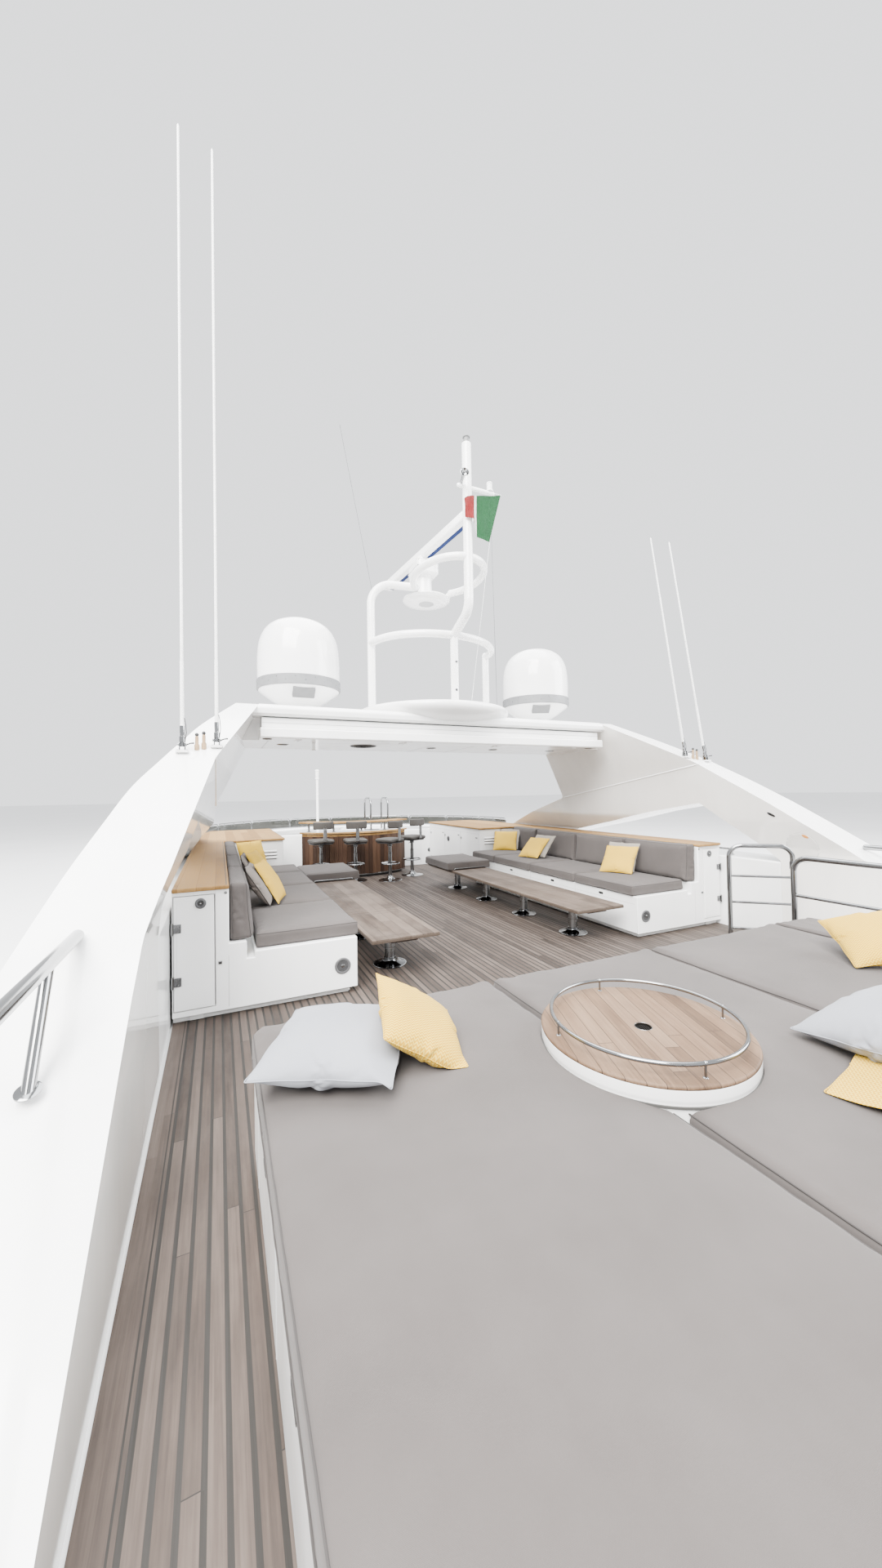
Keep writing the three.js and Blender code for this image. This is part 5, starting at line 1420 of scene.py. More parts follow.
for i, (x0, x1) in enumerate(PANELS):
    hx = (x1 - x0) / 2 - 1.5
    b = stretched(pad_bm, hx / 602, 1, 1, turn=i % 2 == 1)
    m = Matrix.Translation(((x0 + x1) / 2, (PAD_FWD + PAD_AFT) / 2, PAD_BASE_TOP + GAP + pad_hz))
    # outer forward corners are cut round
    for v in b.verts:
        X, Y = v.co.x + (x0 + x1) / 2, v.co.y + (PAD_FWD + PAD_AFT) / 2
        for cx, cy, r, sx in ((PAD_LEFT + 85, PAD_FWD - 85, 85, -1), (PAD_RIGHT - 120, PAD_FWD - 120, 120, 1)):
            dx, dy = (X - cx) * sx, Y - cy
            if dx > 0 and dy > 0:
                d = math.hypot(dx, dy)
                lim = max(dx, dy)
                k = lim / d
                X, Y = cx + sx * dx * k, cy + dy * k
        v.co.x, v.co.y = X - (x0 + x1) / 2, Y - (PAD_FWD + PAD_AFT) / 2
    rims = [tube(block_rim(b, hx, pad_hy, zz, inset=3, n=34), 2.8, 8, closed=True) for zz in (pad_hz - 17, -pad_hz + 14)]
    b.transform(m)
    for q in rims:
        q.transform(m)
    cut = [(ROUND_X, ROUND_Y, ROUND_R + 2.5)] if x0 < ROUND_X + 400 and x1 > ROUND_X - 400 else []
    if cut:
        b = carve(b, cut)
    p = Part()
    p.add(b, GREY)
    for q in rims:
        p.add(q, WELT_SHADE)
    ob = p.done(f"sunpad_cushion_{i + 1}", "cushion_fabric", ["sunpad_cushions"], angle=50, weighted=False)
pad_bm.free()

# ------------------------------------------------------------------ round table let into the pad
TURN = Matrix.Translation((ROUND_X, ROUND_Y, 0)) @ Matrix.Rotation(math.radians(-20), 4, "Z")
p = Part()
p.add(lathe([(0, GAP), (ROUND_R - 8, GAP), (ROUND_R - 5, 4), (ROUND_R - 5, 556), (ROUND_R - 1.5, 566), (ROUND_R - 0.5, 576),
             (ROUND_R - 0.5, 603), (ROUND_R - 1.5, 605.4), (0, 605.4)], 0, 0, 160), GEL, TURN)
rim_line = [(ROUND_R - 9 + 9 * math.cos(math.radians(a)), 611 + 9 * math.sin(math.radians(a))) for a in range(-30, 91, 12)]
p.add(lathe([(0, 606), (ROUND_R - 3, 606)] + rim_line + [(33, 620), (31.5, 619), (31, 610), (0, 610)], 0, 0, 160), ROUND, TURN)
# oval grip hole in the middle, lined in dark rubber
grip = [(30 * math.cos(math.radians(a)), 21 * math.sin(math.radians(a))) for a in range(0, 360, 8)]
p.add(lathe([(0, 609), (31.4, 609), (31.4, 618.8), (29.6, 619.8), (28.2, 618.6), (27.6, 612), (0, 611.4)], 0, 0, 48), RECESS, TURN)
for i in range(-2, 3):
    p.add(box(i * 9 - 2, i * 9 + 2, -24 + 3 * abs(i), 24 - 3 * abs(i), 611, 615, 1), RECESS, TURN)
p.add(ring(0, 0, 619.9, 33, 1.3, 64, 10), SATIN, TURN)
p.add(ring(0, 0, 666, 350, 7.5, 160, 14), STEEL, TURN)
for a in (95, 185, 275, 365):
    t = math.radians(a)
    px, py = 350 * math.cos(t), 350 * math.sin(t)
    p.add(tube([(px, py, 617), (px, py, 666)], 4.2, 12), STEEL, TURN)
    p.add(lathe([(0, 619), (9, 619), (9, 621), (6, 623), (0, 623)], px, py, 20), STEEL, TURN)
    p.add(ball(px, py, 666, 8.6, 14), STEEL, TURN)
# painted contact shadow: a dark band round the drum at the height of the pad, where the pad meets it
p.add(lathe([(ROUND_R - 5.5, 548), (ROUND_R + 0.6, 548), (ROUND_R + 0.6, 555), (ROUND_R - 5.5, 555), (ROUND_R - 5.5, 548)], 0, 0, 160), RUBBER_AND_SHADE, TURN)
p.done("pad_table", "table_teak", ["round_table"],
       place=Matrix.LocRotScale((MM @ TURN).to_translation(), TURN.to_quaternion(), None))


# ------------------------------------------------------------------ low tables
def low_table(name, f):
    s = -1 if name == "port" else 1
    p = Part()
    for i in range(4):
        y0, y1 = TABLE_AFT + i * LEAF + 2, TABLE_AFT + (i + 1) * LEAF - 2
        x0, x1 = sorted((s * TABLE_IN, s * TABLE_OUT))
        plan = fillet([(x0, y0), (x1, y0), (x1, y1), (x0, y1)], 9, 4)
        p.add(prism(plan, TABLE_TOP - 32, TABLE_TOP - 9, 3, 2), TABLE_EDGE)
        p.add(prism(fillet([(x0 + 3, y0 + 3), (x1 - 3, y0 + 3), (x1 - 3, y1 - 3), (x0 + 3, y1 - 3)], 7, 4), TABLE_TOP - 12, TABLE_TOP, 3, 2), TABLE)
        # breadboard ends and a centre joint
        for yy in (y0 + 88, y1 - 88):
            p.add(box(x0 + 6, x1 - 6, yy - 0.8, yy + 0.8, TABLE_TOP - 0.6, TABLE_TOP + 0.35, 0), SEAM)
        p.add(box(x0 + 40, x1 - 40, y0 + 30, y1 - 30, TABLE_TOP - 38, TABLE_TOP - 30, 2), TABLE_EDGE)
    x0, x1 = sorted((s * (TABLE_IN + 180), s * (TABLE_OUT - 180)))
    p.add(box(x0, x1, TABLE_AFT + 60, TABLE_AFT + 4 * LEAF - 60, TABLE_TOP - 60, TABLE_TOP - 34, 4), TABLE_EDGE)
    # hinge plates at the joints of the leaves
    for i in (1, 2, 3):
        y = TABLE_AFT + i * LEAF
        for dx in (-200, 200):
            p.add(box(s * 1040 + dx - 22, s * 1040 + dx + 22, y - 30, y + 30, TABLE_TOP - 41, TABLE_TOP - 36, 1), SATIN)
    # steel bar that keeps the ottoman cushion on its leaf
    y = TABLE_AFT + 3 * LEAF + 6
    pts = fillet3([(s * (TABLE_IN + 40), y, TABLE_TOP - 2), (s * (TABLE_IN + 40), y, TABLE_TOP + 26), (s * (TABLE_OUT - 40), y, TABLE_TOP + 26),
                   (s * (TABLE_OUT - 40), y, TABLE_TOP - 2)], 22, 6)
    p.add(tube(pts, 6, 12), STEEL)
    p.done(f"{name}_low_table", "table_teak", [f"{name}_table_top"])

    p = Part()
    p.add(f(box(-1070, -1020, TABLE_AFT + 300, TABLE_AFT + 4 * LEAF - 300, 285, 299.5, 2)), SATIN)
    for i in range(4):
        y = TABLE_AFT + (i + 0.5) * LEAF - 20
        x = s * 1045
        p.add(lathe([(0, GAP), (150, GAP), (152, 3), (152, 6), (149, 9), (141, 10.4), (0, 10.4)], x, y, 56), STEEL)
        # the polished flare is near black: painted dark reflection
        p.add(lathe([(0, 8), (141.5, 10), (138, 11), (118, 14), (96, 18), (76, 25), (62, 35), (55, 48), (52, 64), (0, 64)], x, y, 56), POLISHED_DARK_REFLECTION)
        p.add(lathe([(0, 60), (46, 60), (46, 262), (0, 262)], x, y, 40), BRUSHED)
        p.add(lathe([(0, 258), (49, 258), (50, 261), (50, 268), (58, 272), (92, 277), (95, 281), (95, 299), (0, 299)], x, y, 40), SATIN)
        p.add(lathe([(45, 150), (48.4, 151), (48.4, 156), (45, 157), (45, 150)], x, y, 40), STEEL)
        for a in range(0, 360, 60):
            t = math.radians(a + 15)
            p.add(lathe([(0, 8), (7, 8), (7, 12), (3, 14), (0, 14)], x + 128 * math.cos(t), y + 128 * math.sin(t), 12), SATIN)
    p.done(f"{name}_table_legs", "stainless", [f"{name}_table_pedestals"])


both_sides(low_table)

# ------------------------------------------------------------------ bar
BAR_A0, BAR_A1 = -47.0, 39.0                   # from straight aft, degrees


def bar_ring(r0, r1, a0, a1, z0, z1, bevel=0.0, seg=2, step=1.5, angle=28.0):
    n = max(1, int(math.ceil((a1 - a0) / step)))
    outer = arc(0, BAR_Y, r0, 270 + a0, 270 + a1, n)
    inner = arc(0, BAR_Y, r1, 270 + a1, 270 + a0, n)
    return prism(outer + inner, z0, z1, bevel, seg, angle)


p = Part()
p.add(bar_ring(BAR_R - 22, BAR_R - 430, BAR_A0 + 0.1, BAR_A1 - 0.1, 60, 811, 3, 2), GEL_WARM)
# near-black plinth in the toe space and a dark ring just behind the planks: painted shade under the bar and in the gaps
# between planks
p.add(bar_ring(BAR_R - 60, BAR_R - 390, BAR_A0 + 1.5, BAR_A1 - 1.5, GAP, 64, 0), DARK)
p.add(bar_ring(BAR_R - 21, BAR_R - 26, BAR_A0, BAR_A1, 62, 806, 0), DARK)
pitch = math.degrees(PLANK_ANGLE)
k = math.ceil(BAR_A0 / pitch)
edges = [BAR_A0] + [i * pitch for i in range(k, 60) if BAR_A0 + 0.4 < i * pitch < BAR_A1 - 0.4] + [BAR_A1]
for a0, a1 in zip(edges, edges[1:]):
    gap = math.degrees(1.6 / BAR_R)
    p.add(bar_ring(BAR_R, BAR_R - 22, a0 + gap, a1 - gap, 58, 762, 2.2, 2, step=0.8), BAR)
# end boards
for a, d in ((BAR_A0, 1), (BAR_A1, -1)):
    for j in range(5):
        r1 = BAR_R - 30 - j * 80
        p.add(bar_ring(r1, r1 - 78, *sorted((a, a + d * 0.7)), 60, 806, 1.5, 2), BAR)
p.add(bar_ring(BAR_R + 1, BAR_R - 24, BAR_A0, BAR_A1, 764, 810, 4, 2), HONEY)
p.add(bar_ring(BAR_R - 2, BAR_R - 20, BAR_A0 + 0.2, BAR_A1 - 0.2, 36, 57, 3, 2), STEEL)
# doors and their handles on the keeper's side
for a0, a1 in ((-44, -24), (-23.4, -3.4), (-2.8, 17.2), (17.8, 36.5)):
    p.add(bar_ring(BAR_R - 428, BAR_R - 436, a0, a1, 90, 770, 2, 2), GEL)
    p.add(bar_ring(BAR_R - 436, BAR_R - 441, a0 + 1.2, a0 + 2.4, 640, 700, 1.5, 2), SATIN)
p.done("bar_front", "bar_wood", ["bar_counter"])

p = Part()
p.add(bar_ring(BAR_R + 35, BAR_R - 460, BAR_A0 - 1, BAR_A1 + 1, 812.5, 842, 5, 3), GEL)
p.add(bar_ring(BAR_R + 36, BAR_R + 8, BAR_A0 - 1, BAR_A1 + 1, 812.3, 844, 7, 3), HONEY)
p.add(bar_ring(BAR_R + 15, BAR_R - 245, BAR_A0 - 2.5, BAR_A1 + 3, 1000, 1030, 9, 3), HONEY)
for r in (BAR_R - 20, BAR_R - 210):
    p.add(bar_ring(r + 2, r - 2, BAR_A0 - 2, BAR_A1 + 2.5, 1029.4, 1030.5, 0), SEAM)
for a in (226, 247, 269, 290, 307):
    t = math.radians(a)
    x, y = (BAR_R - 120) * math.cos(t), BAR_Y + (BAR_R - 120) * math.sin(t)
    p.add(tube([(x, y, 840), (x, y, 1003)], 19, 24), STEEL)
    p.add(lathe([(0, 841), (42, 841), (42, 845), (36, 849), (22, 851), (0, 851)], x, y, 32), STEEL)
    p.add(lathe([(0, 992), (22, 992), (44, 996), (44, 1001), (0, 1001)], x, y, 32), STEEL)
# sink on the worktop
t = math.radians(283)
x, y = (BAR_R - 330) * math.cos(t), BAR_Y + (BAR_R - 330) * math.sin(t)
p.add(lathe([(0, 840.5), (128, 840.5), (148, 843), (150, 844.6), (146, 846), (140, 845), (136, 842.5), (0, 842)], x, y, 48), SATIN)
# dark disc at the bottom of the sink: painted shade for the drain hole
p.add(lathe([(0, 842.6), (20, 842.6), (20, 843.6), (0, 844)], x, y, 24), DARK)
p.done("bar_worktop", "honey_teak", ["bar_top"])

# ------------------------------------------------------------------ bar stools
STOOLS = ((-812, 3200, 8), (-250, 2985, -4), (310, 2740, 30), (850, 3050, 24))
for i, (x, y, turn) in enumerate(STOOLS):
    p = Part()
    p.add(lathe([(0, GAP), (202, GAP), (205, 3), (205, 6), (201, 9), (180, 12), (140, 17), (100, 25), (70, 37), (52, 54), (45, 76), (0, 76)], x, y, 72), STEEL)
    p.add(lathe([(0, 72), (37, 72), (37, 84), (33, 88), (33, 470), (36, 474), (36, 486), (27, 490), (27, 636), (0, 636)], x, y, 40), STEEL)
    p.add(lathe([(26, 600), (38, 602), (40, 610), (40, 634), (36, 640), (26, 640), (26, 600)], x, y, 40), SATIN)
    p.add(ring(x, y, 300, 160, 11, 96, 16), STEEL)
    for a in (0, 120, 240):
        t = math.radians(a + turn)
        p.add(tube([(x + 30 * math.cos(t), y + 30 * math.sin(t), 300), (x + 158 * math.cos(t), y + 158 * math.sin(t), 300)], 8, 14), STEEL)
    p.add(lathe([(32, 280), (43, 282), (43, 318), (32, 320), (32, 280)], x, y, 40), STEEL)
    # gas-lift lever
    t = math.radians(turn + 205)
    p.add(tube([(x + 36 * math.cos(t), y + 36 * math.sin(t), 626), (x + 120 * math.cos(t), y + 120 * math.sin(t), 622), (x + 165 * math.cos(t), y + 165 * math.sin(t), 612)], 5, 10), STEEL)
    p.done(f"stool_{i + 1}_column", "stainless", [f"stool_{i + 1}_pedestal"])

    p = Part()
    m = Matrix.Translation((x, y, 0)) @ Matrix.Rotation(math.radians(turn), 4, "Z")
    p.add(lathe([(0, 643), (58, 643), (60, 646), (66, 662), (96, 668), (0, 668)], n=40), SATIN, m)
    p.add(prism(fillet([(-185, -180), (185, -180), (185, 175), (-185, 175)], 70, 10), 660, 674, 4, 2), DARK, m)
    b = soft_block(193, 186, 39, r=30, crown=10, belly=4, pull=4, step=22, seed=20 + i, wrinkle=0.8, pucker=1.0)
    rim = tube(block_rim(b, 193, 186, 10, inset=1, n=20), 2.2, 8, closed=True)
    up = m @ Matrix.Translation((0, -2, 712))
    p.add(rim, VINYL_SEAM, up)
    p.add(b, VINYL, up)
    # low curved back, padded, on one flat upright
    hb = soft_block(208, 65, 20, r=17, crown=3, belly=3, pull=2, step=14, seed=30 + i, wrinkle=0.6, pucker=0.8)
    rim = tube(block_rim(hb, 208, 65, 2, inset=1, n=16), 2.0, 8, closed=True)

    def wrap(q):
        ang = math.radians(270) + q.x / 218.0
        rr = 218.0 - q.z
        return Vector((rr * math.cos(ang), rr * math.sin(ang), 995 + q.y))
    for shell, mat in ((hb, VINYL), (rim, VINYL_SEAM)):
        for v in shell.verts:
            v.co = wrap(v.co)
        bmesh.ops.recalc_face_normals(shell, faces=shell.faces)
        p.add(shell, mat, m)
    post = side(fillet([(-236, 690), (-150, 690), (-150, 698), (-222, 704), (-224, 716), (-224, 990), (-236, 990)], [34, 2, 2, 26, 4, 3, 3], 6), -30, 30, 2.5, 2)
    p.add(post, STEEL, m)
    for z in (960, 1000):
        p.add(disc((0, -236.5, z - 20), (0, -1, 0), [(0, 0), (7, 0), (6, 2.4), (0, 3)], 14), SATIN, m)
    p.done(f"stool_{i + 1}_top", "stool_vinyl", [f"stool_{i + 1}_seat"], body=f"stool_{i + 1}_seat")

# ------------------------------------------------------------------ spa platform
p = Part()
bm = node_copy("spa_platform")
# the light pole is remade round, so its faces are left out here
gone = [f for f in bm.faces if max((v.co - Vector((-403, 5765, v.co.z))).length for v in f.verts) < 76]
bmesh.ops.delete(bm, geom=gone, context="FACES")
bm.normal_update()
rim_edges = [e for e in bm.edges if len(e.link_faces) == 2 and e.calc_face_angle(0) > math.radians(28)
             and all(abs(v.co.z - SPA_TOP) < 1 for v in e.verts) and all((v.co - Vector((620, 5060, v.co.z))).length > 700 for v in e.verts)]
bmesh.ops.bevel(bm, geom=rim_edges, offset=14, offset_type="OFFSET", segments=3, profile=0.5, affect="EDGES", clamp_overlap=True)
p.add(bm, GEL)
p.add(lathe([(0, 184), (548, 184), (590, 196), (622, 226), (636, 262), (646, 330), (648, 748), (652, 760), (664, 768), (690, 770), (704, 766), (708, 758), (700, 757), (652, 757), (649, 700)],
            620, 5060, 96), GEL_WARM)
for a in range(0, 360, 45):
    t = math.radians(a + 10)
    p.add(disc((620 + 645 * math.cos(t), 5060 + 645 * math.sin(t), 420), (-math.cos(t), -math.sin(t), 0), [(0, 0), (26, 0), (26, 4), (14, 7), (12, 4), (0, 4)], 20), SATIN)
p.add(lathe([(0, 184), (70, 184), (70, 187), (0, 189)], 620, 5060, 32), SATIN)
p.add(lathe([(0, 750), (72, 752), (72, 772), (58, 780), (36, 786), (28, 796), (28, 1885), (0, 1885)], -403, 5765, 32), GEL)
p.add(lathe([(0, 1880), (44, 1884), (46, 1890), (46, 1904), (40, 1908), (0, 1908)], -403, 5765, 36), GEL)
p.add(lathe([(0, 1904), (38, 1904), (40, 1912), (40, 2076), (0, 2078)], -403, 5765, 36), WHIP)
p.add(lathe([(0, 2070), (46, 2072), (48, 2078), (46, 2092), (30, 2104), (0, 2108)], -403, 5765, 36), GEL)
for x in (-1900, -900, 1500):
    p.add(box(x - 1.4, x + 1.4, SPA_AFT - 1.0, SPA_AFT + 1, 60, 730, 0), GEL_SHADE)
for x in (-1400, 1000, 1850):
    slot_pull(p, (x, SPA_AFT - 0.6, 640), (0, -1, 0))
for x in (-1750, 1700):
    p.add(disc((x, SPA_AFT + 0.5, 300), (0, -1, 0), [(0, 0), (44, 0), (44, 4), (36, 7), (0, 6)], 32), SATIN)
p.done("spa_platform_shell", "gelcoat", ["spa_platform"])

# grab rails at the spa step
p = Part()
for x in (434, 806):
    pts = fillet3([(x, 4330, SPA_TOP + 3), (x, 4330, 1440), (x, 4790, 1440), (x, 4790, SPA_TOP - 330)], 130, 10)
    p.add(tube(pts, 19, 20), STEEL)
    p.add(lathe([(0, SPA_TOP + 1), (42, SPA_TOP + 1), (42, SPA_TOP + 6), (34, SPA_TOP + 10), (21, SPA_TOP + 12), (0, SPA_TOP + 12)], x, 4330, 32), STEEL)
p.add(box(400, 840, 4290, 4375, SPA_TOP + GAP, SPA_TOP + 8, 3), SATIN)
p.done("spa_rails", "stainless", ["spa_grab_rails"])


# ------------------------------------------------------------------ windscreen: tinted panels with bent top rails
def spline(points, n=14):
    pts = [Vector(p) for p in points]
    out = []
    for i in range(len(pts) - 1):
        p0 = pts[i - 1] if i else pts[i] * 2 - pts[i + 1]
        p1, p2 = pts[i], pts[i + 1]
        p3 = pts[i + 2] if i + 2 < len(pts) else pts[i + 1] * 2 - pts[i]
        for k in range(n):
            t = k / n
            out.append(0.5 * ((2 * p1) + (p2 - p0) * t + (2 * p0 - 5 * p1 + 4 * p2 - p3) * t * t + (3 * p1 - p0 - 3 * p2 + p3) * t ** 3))
    out.append(pts[-1])
    return out


half_run = [(2960, 3100), (2930, 3700), (2800, 4280), (2500, 4930), (2060, 5480), (1480, 5940), (770, 6240), (0, 6330)]
run = spline(half_run + [(-x, y) for x, y in reversed(half_run[:-1])])
dist = [0.0]
for a, b in zip(run, run[1:]):
    dist.append(dist[-1] + (b - a).length)
total = dist[-1]


def on_run(d):
    d = max(0.0, min(total, d))
    for i in range(1, len(dist)):
        if d <= dist[i]:
            t = (d - dist[i - 1]) / (dist[i] - dist[i - 1])
            return run[i - 1].lerp(run[i], t)
    return run[-1]


pg, pr = Part(), Part()
count = 10
for i in range(count):
    d0, d1 = total * i / count + 13, total * (i + 1) / count - 13
    n = 26
    cols = []
    r = 46
    for k in range(n + 1):
        d = d0 + (d1 - d0) * k / n
        edge = min(d - d0, d1 - d)
        top = 956 - (r - math.sqrt(max(r * r - (r - min(edge, r)) ** 2, 0)))
        cols.append((d, top))
    bm = bmesh.new()
    rows = []
    for d, top in cols:
        c = on_run(d)
        t = (on_run(d + 5) - on_run(d - 5)).normalized()
        nrm = Vector((t.y, -t.x))
        row = []
        for off in (-5, 5):
            for z in (COAMING_TOP + 1, top):
                row.append(bm.verts.new((c.x + nrm.x * off, c.y + nrm.y * off, z)))
        rows.append(row)
    for a, b in zip(rows, rows[1:]):
        bm.faces.new((a[0], a[1], b[1], b[0]))
        bm.faces.new((a[2], b[2], b[3], a[3]))
        bm.faces.new((a[1], a[3], b[3], b[1]))
        bm.faces.new((a[0], b[0], b[2], a[2]))
    bm.faces.new((rows[0][0], rows[0][2], rows[0][3], rows[0][1]))
    bm.faces.new((rows[-1][0], rows[-1][1], rows[-1][3], rows[-1][2]))
    bmesh.ops.recalc_face_normals(bm, faces=bm.faces)
    pg.add(bm, GLASS)
    # rail round each panel, bending down at its ends
    pts = [Vector((*on_run(d0 - 4), COAMING_TOP - 2))]
    z = 983
    route = [Vector((*on_run(d0 - 4), COAMING_TOP - 2)), Vector((*on_run(d0 - 4), z - 40))]
    for a in range(0, 91, 15):
        t = math.radians(a)
        route.append(Vector((*on_run(d0 - 4 + 40 * (1 - math.cos(t))), z - 40 + 40 * math.sin(t))))
    for k in range(1, n):
        d = d0 + 40 + (d1 - d0 - 80) * k / n
        route.append(Vector((*on_run(d), z)))
    for a in range(90, -1, -15):
        t = math.radians(a)
        route.append(Vector((*on_run(d1 + 4 - 40 * (1 - math.cos(t))), z - 40 + 40 * math.sin(t))))
    route.append(Vector((*on_run(d1 + 4), COAMING_TOP - 2)))
    pr.add(tube(route, 11.5, 14), STEEL)
    # clamps between glass and rail, base channel
    for k in (0.2, 0.5, 0.8):
        c = on_run(d0 + (d1 - d0) * k)
        pr.add(tube([(c.x, c.y, 940), (c.x, c.y, 978)], 7, 12), STEEL)
        pr.add(ball(c.x, c.y, 944, 11, 12), STEEL)
    for d in (d0 - 4, d1 + 4):
        c = on_run(d)
        pr.add(lathe([(0, COAMING_TOP), (22, COAMING_TOP), (22, COAMING_TOP + 4), (14, COAMING_TOP + 7), (0, COAMING_TOP + 7)], c.x, c.y, 20), STEEL)
    base = [Vector((*on_run(d0 + (d1 - d0) * k / n), COAMING_TOP + 6)) for k in range(n + 1)]
    pr.add(tube(base, 9, 10), SATIN)
pg.done("windscreen_panels", "tinted_glass", ["windscreen_glass"], angle=40)
pr.done("windscreen_rails", "stainless", ["windscreen_rail"])

# ------------------------------------------------------------------ guard rails, stair rail and gate
RAIL_Z, RAIL_X = 976, 2990


def flange(p, x, y, z, r=42, up=1):
    p.add(disc((x, y, z), (0, 0, up), [(0, 0), (r, 0), (r, 4), (r - 8, 8), (24, 11), (0, 11)], 32), STEEL)
    for a in range(0, 360, 90):
        t = math.radians(a + 45)
        p.add(disc((x + (r - 11) * math.cos(t), y + (r - 11) * math.sin(t), z + up * 6), (0, 0, up), [(0, 0), (5, 0), (4, 2.5), (0, 3)], 10), SATIN)


def rail_route(z, y0, r=320, n=14):
    return fillet3([(-RAIL_X, y0, z), (-RAIL_X, -6330, z), (RAIL_X, -6330, z), (RAIL_X, y0, z)], r, n)


p = Part()
top = rail_route(RAIL_Z, -3066)
p.add(tube(top, 25, 24), STEEL)
for s in (-1, 1):
    p.add(ball(s * RAIL_X, -3066, RAIL_Z, 25.0, 24), STEEL)
    p.add(tube([(s * RAIL_X, -3645, 641), (s * RAIL_X, -3440, RAIL_Z)], 19, 20), STEEL)
    p.add(disc((s * RAIL_X, -3640, 648), (0, -0.33, 0.94), [(0, 0), (36, 0), (36, 5), (26, 9), (0, 9)], 32), STEEL)
    for y in (-4700, -5350, -5980):
        p.add(tube([(s * RAIL_X, y, 118), (s * RAIL_X, y, RAIL_Z)], 19, 20), STEEL)
        flange(p, s * RAIL_X, y, 119)
for x in (-2300, -1380, -460, 460, 1380, 2300):
    p.add(tube([(x, -6330, GAP), (x, -6330, RAIL_Z)], 19, 20), STEEL)
    flange(p, x, -6330, 0.3)
for z in (690, 400):
    low = rail_route(z, -4700, 320, 12)
    p.add(tube(low, 12, 16), STEEL)
    for s in (-1, 1):
        p.add(ball(s * RAIL_X, -4700, z, 12.5, 14), STEEL)
p.done("aft_guard_rail", "stainless", ["guard_rail"])

p = Part()
x = 1690
p.add(tube(fillet3([(x, -3180, GAP), (x, -3180, 990), (x, -5480, 990), (x, -5480, GAP)], 110, 10), 21, 24), STEEL)
for z in (690, 380):
    p.add(tube([(x, -3180, z), (x, -5480, z)], 13, 18), STEEL)
p.add(tube([(x, -4330, GAP), (x, -4330, 990)], 19, 20), STEEL)
for y in (-3180, -4330, -5480):
    flange(p, x, y, 0.3)
p.done("stair_guard", "stainless", ["stair_rail"])

p = Part()
ga, gb = Vector((2412, -2760, 0)), Vector((2030, -2403, 0))


def at(q, z):
    return Vector((q.x, q.y, z))


p.add(tube(fillet3([at(ga, 8), at(ga, 990), at(gb, 990), at(gb, 8)], 110, 10), 21, 24), STEEL)
for z in (700, 450, 200):
    p.add(tube([at(ga, z), at(gb, z)], 12, 18), STEEL)
d = (gb - ga).normalized()
for z in (180, 780):
    p.add(lathe([(20, z), (26, z), (26, z + 70), (20, z + 70), (20, z)], ga.x, ga.y, 28), SATIN)
p.add(ball(gb.x, gb.y, 10, 21, 16), DARK)
p.done("stair_gate_frame", "stainless", ["stair_gate"], body="stair_gate")


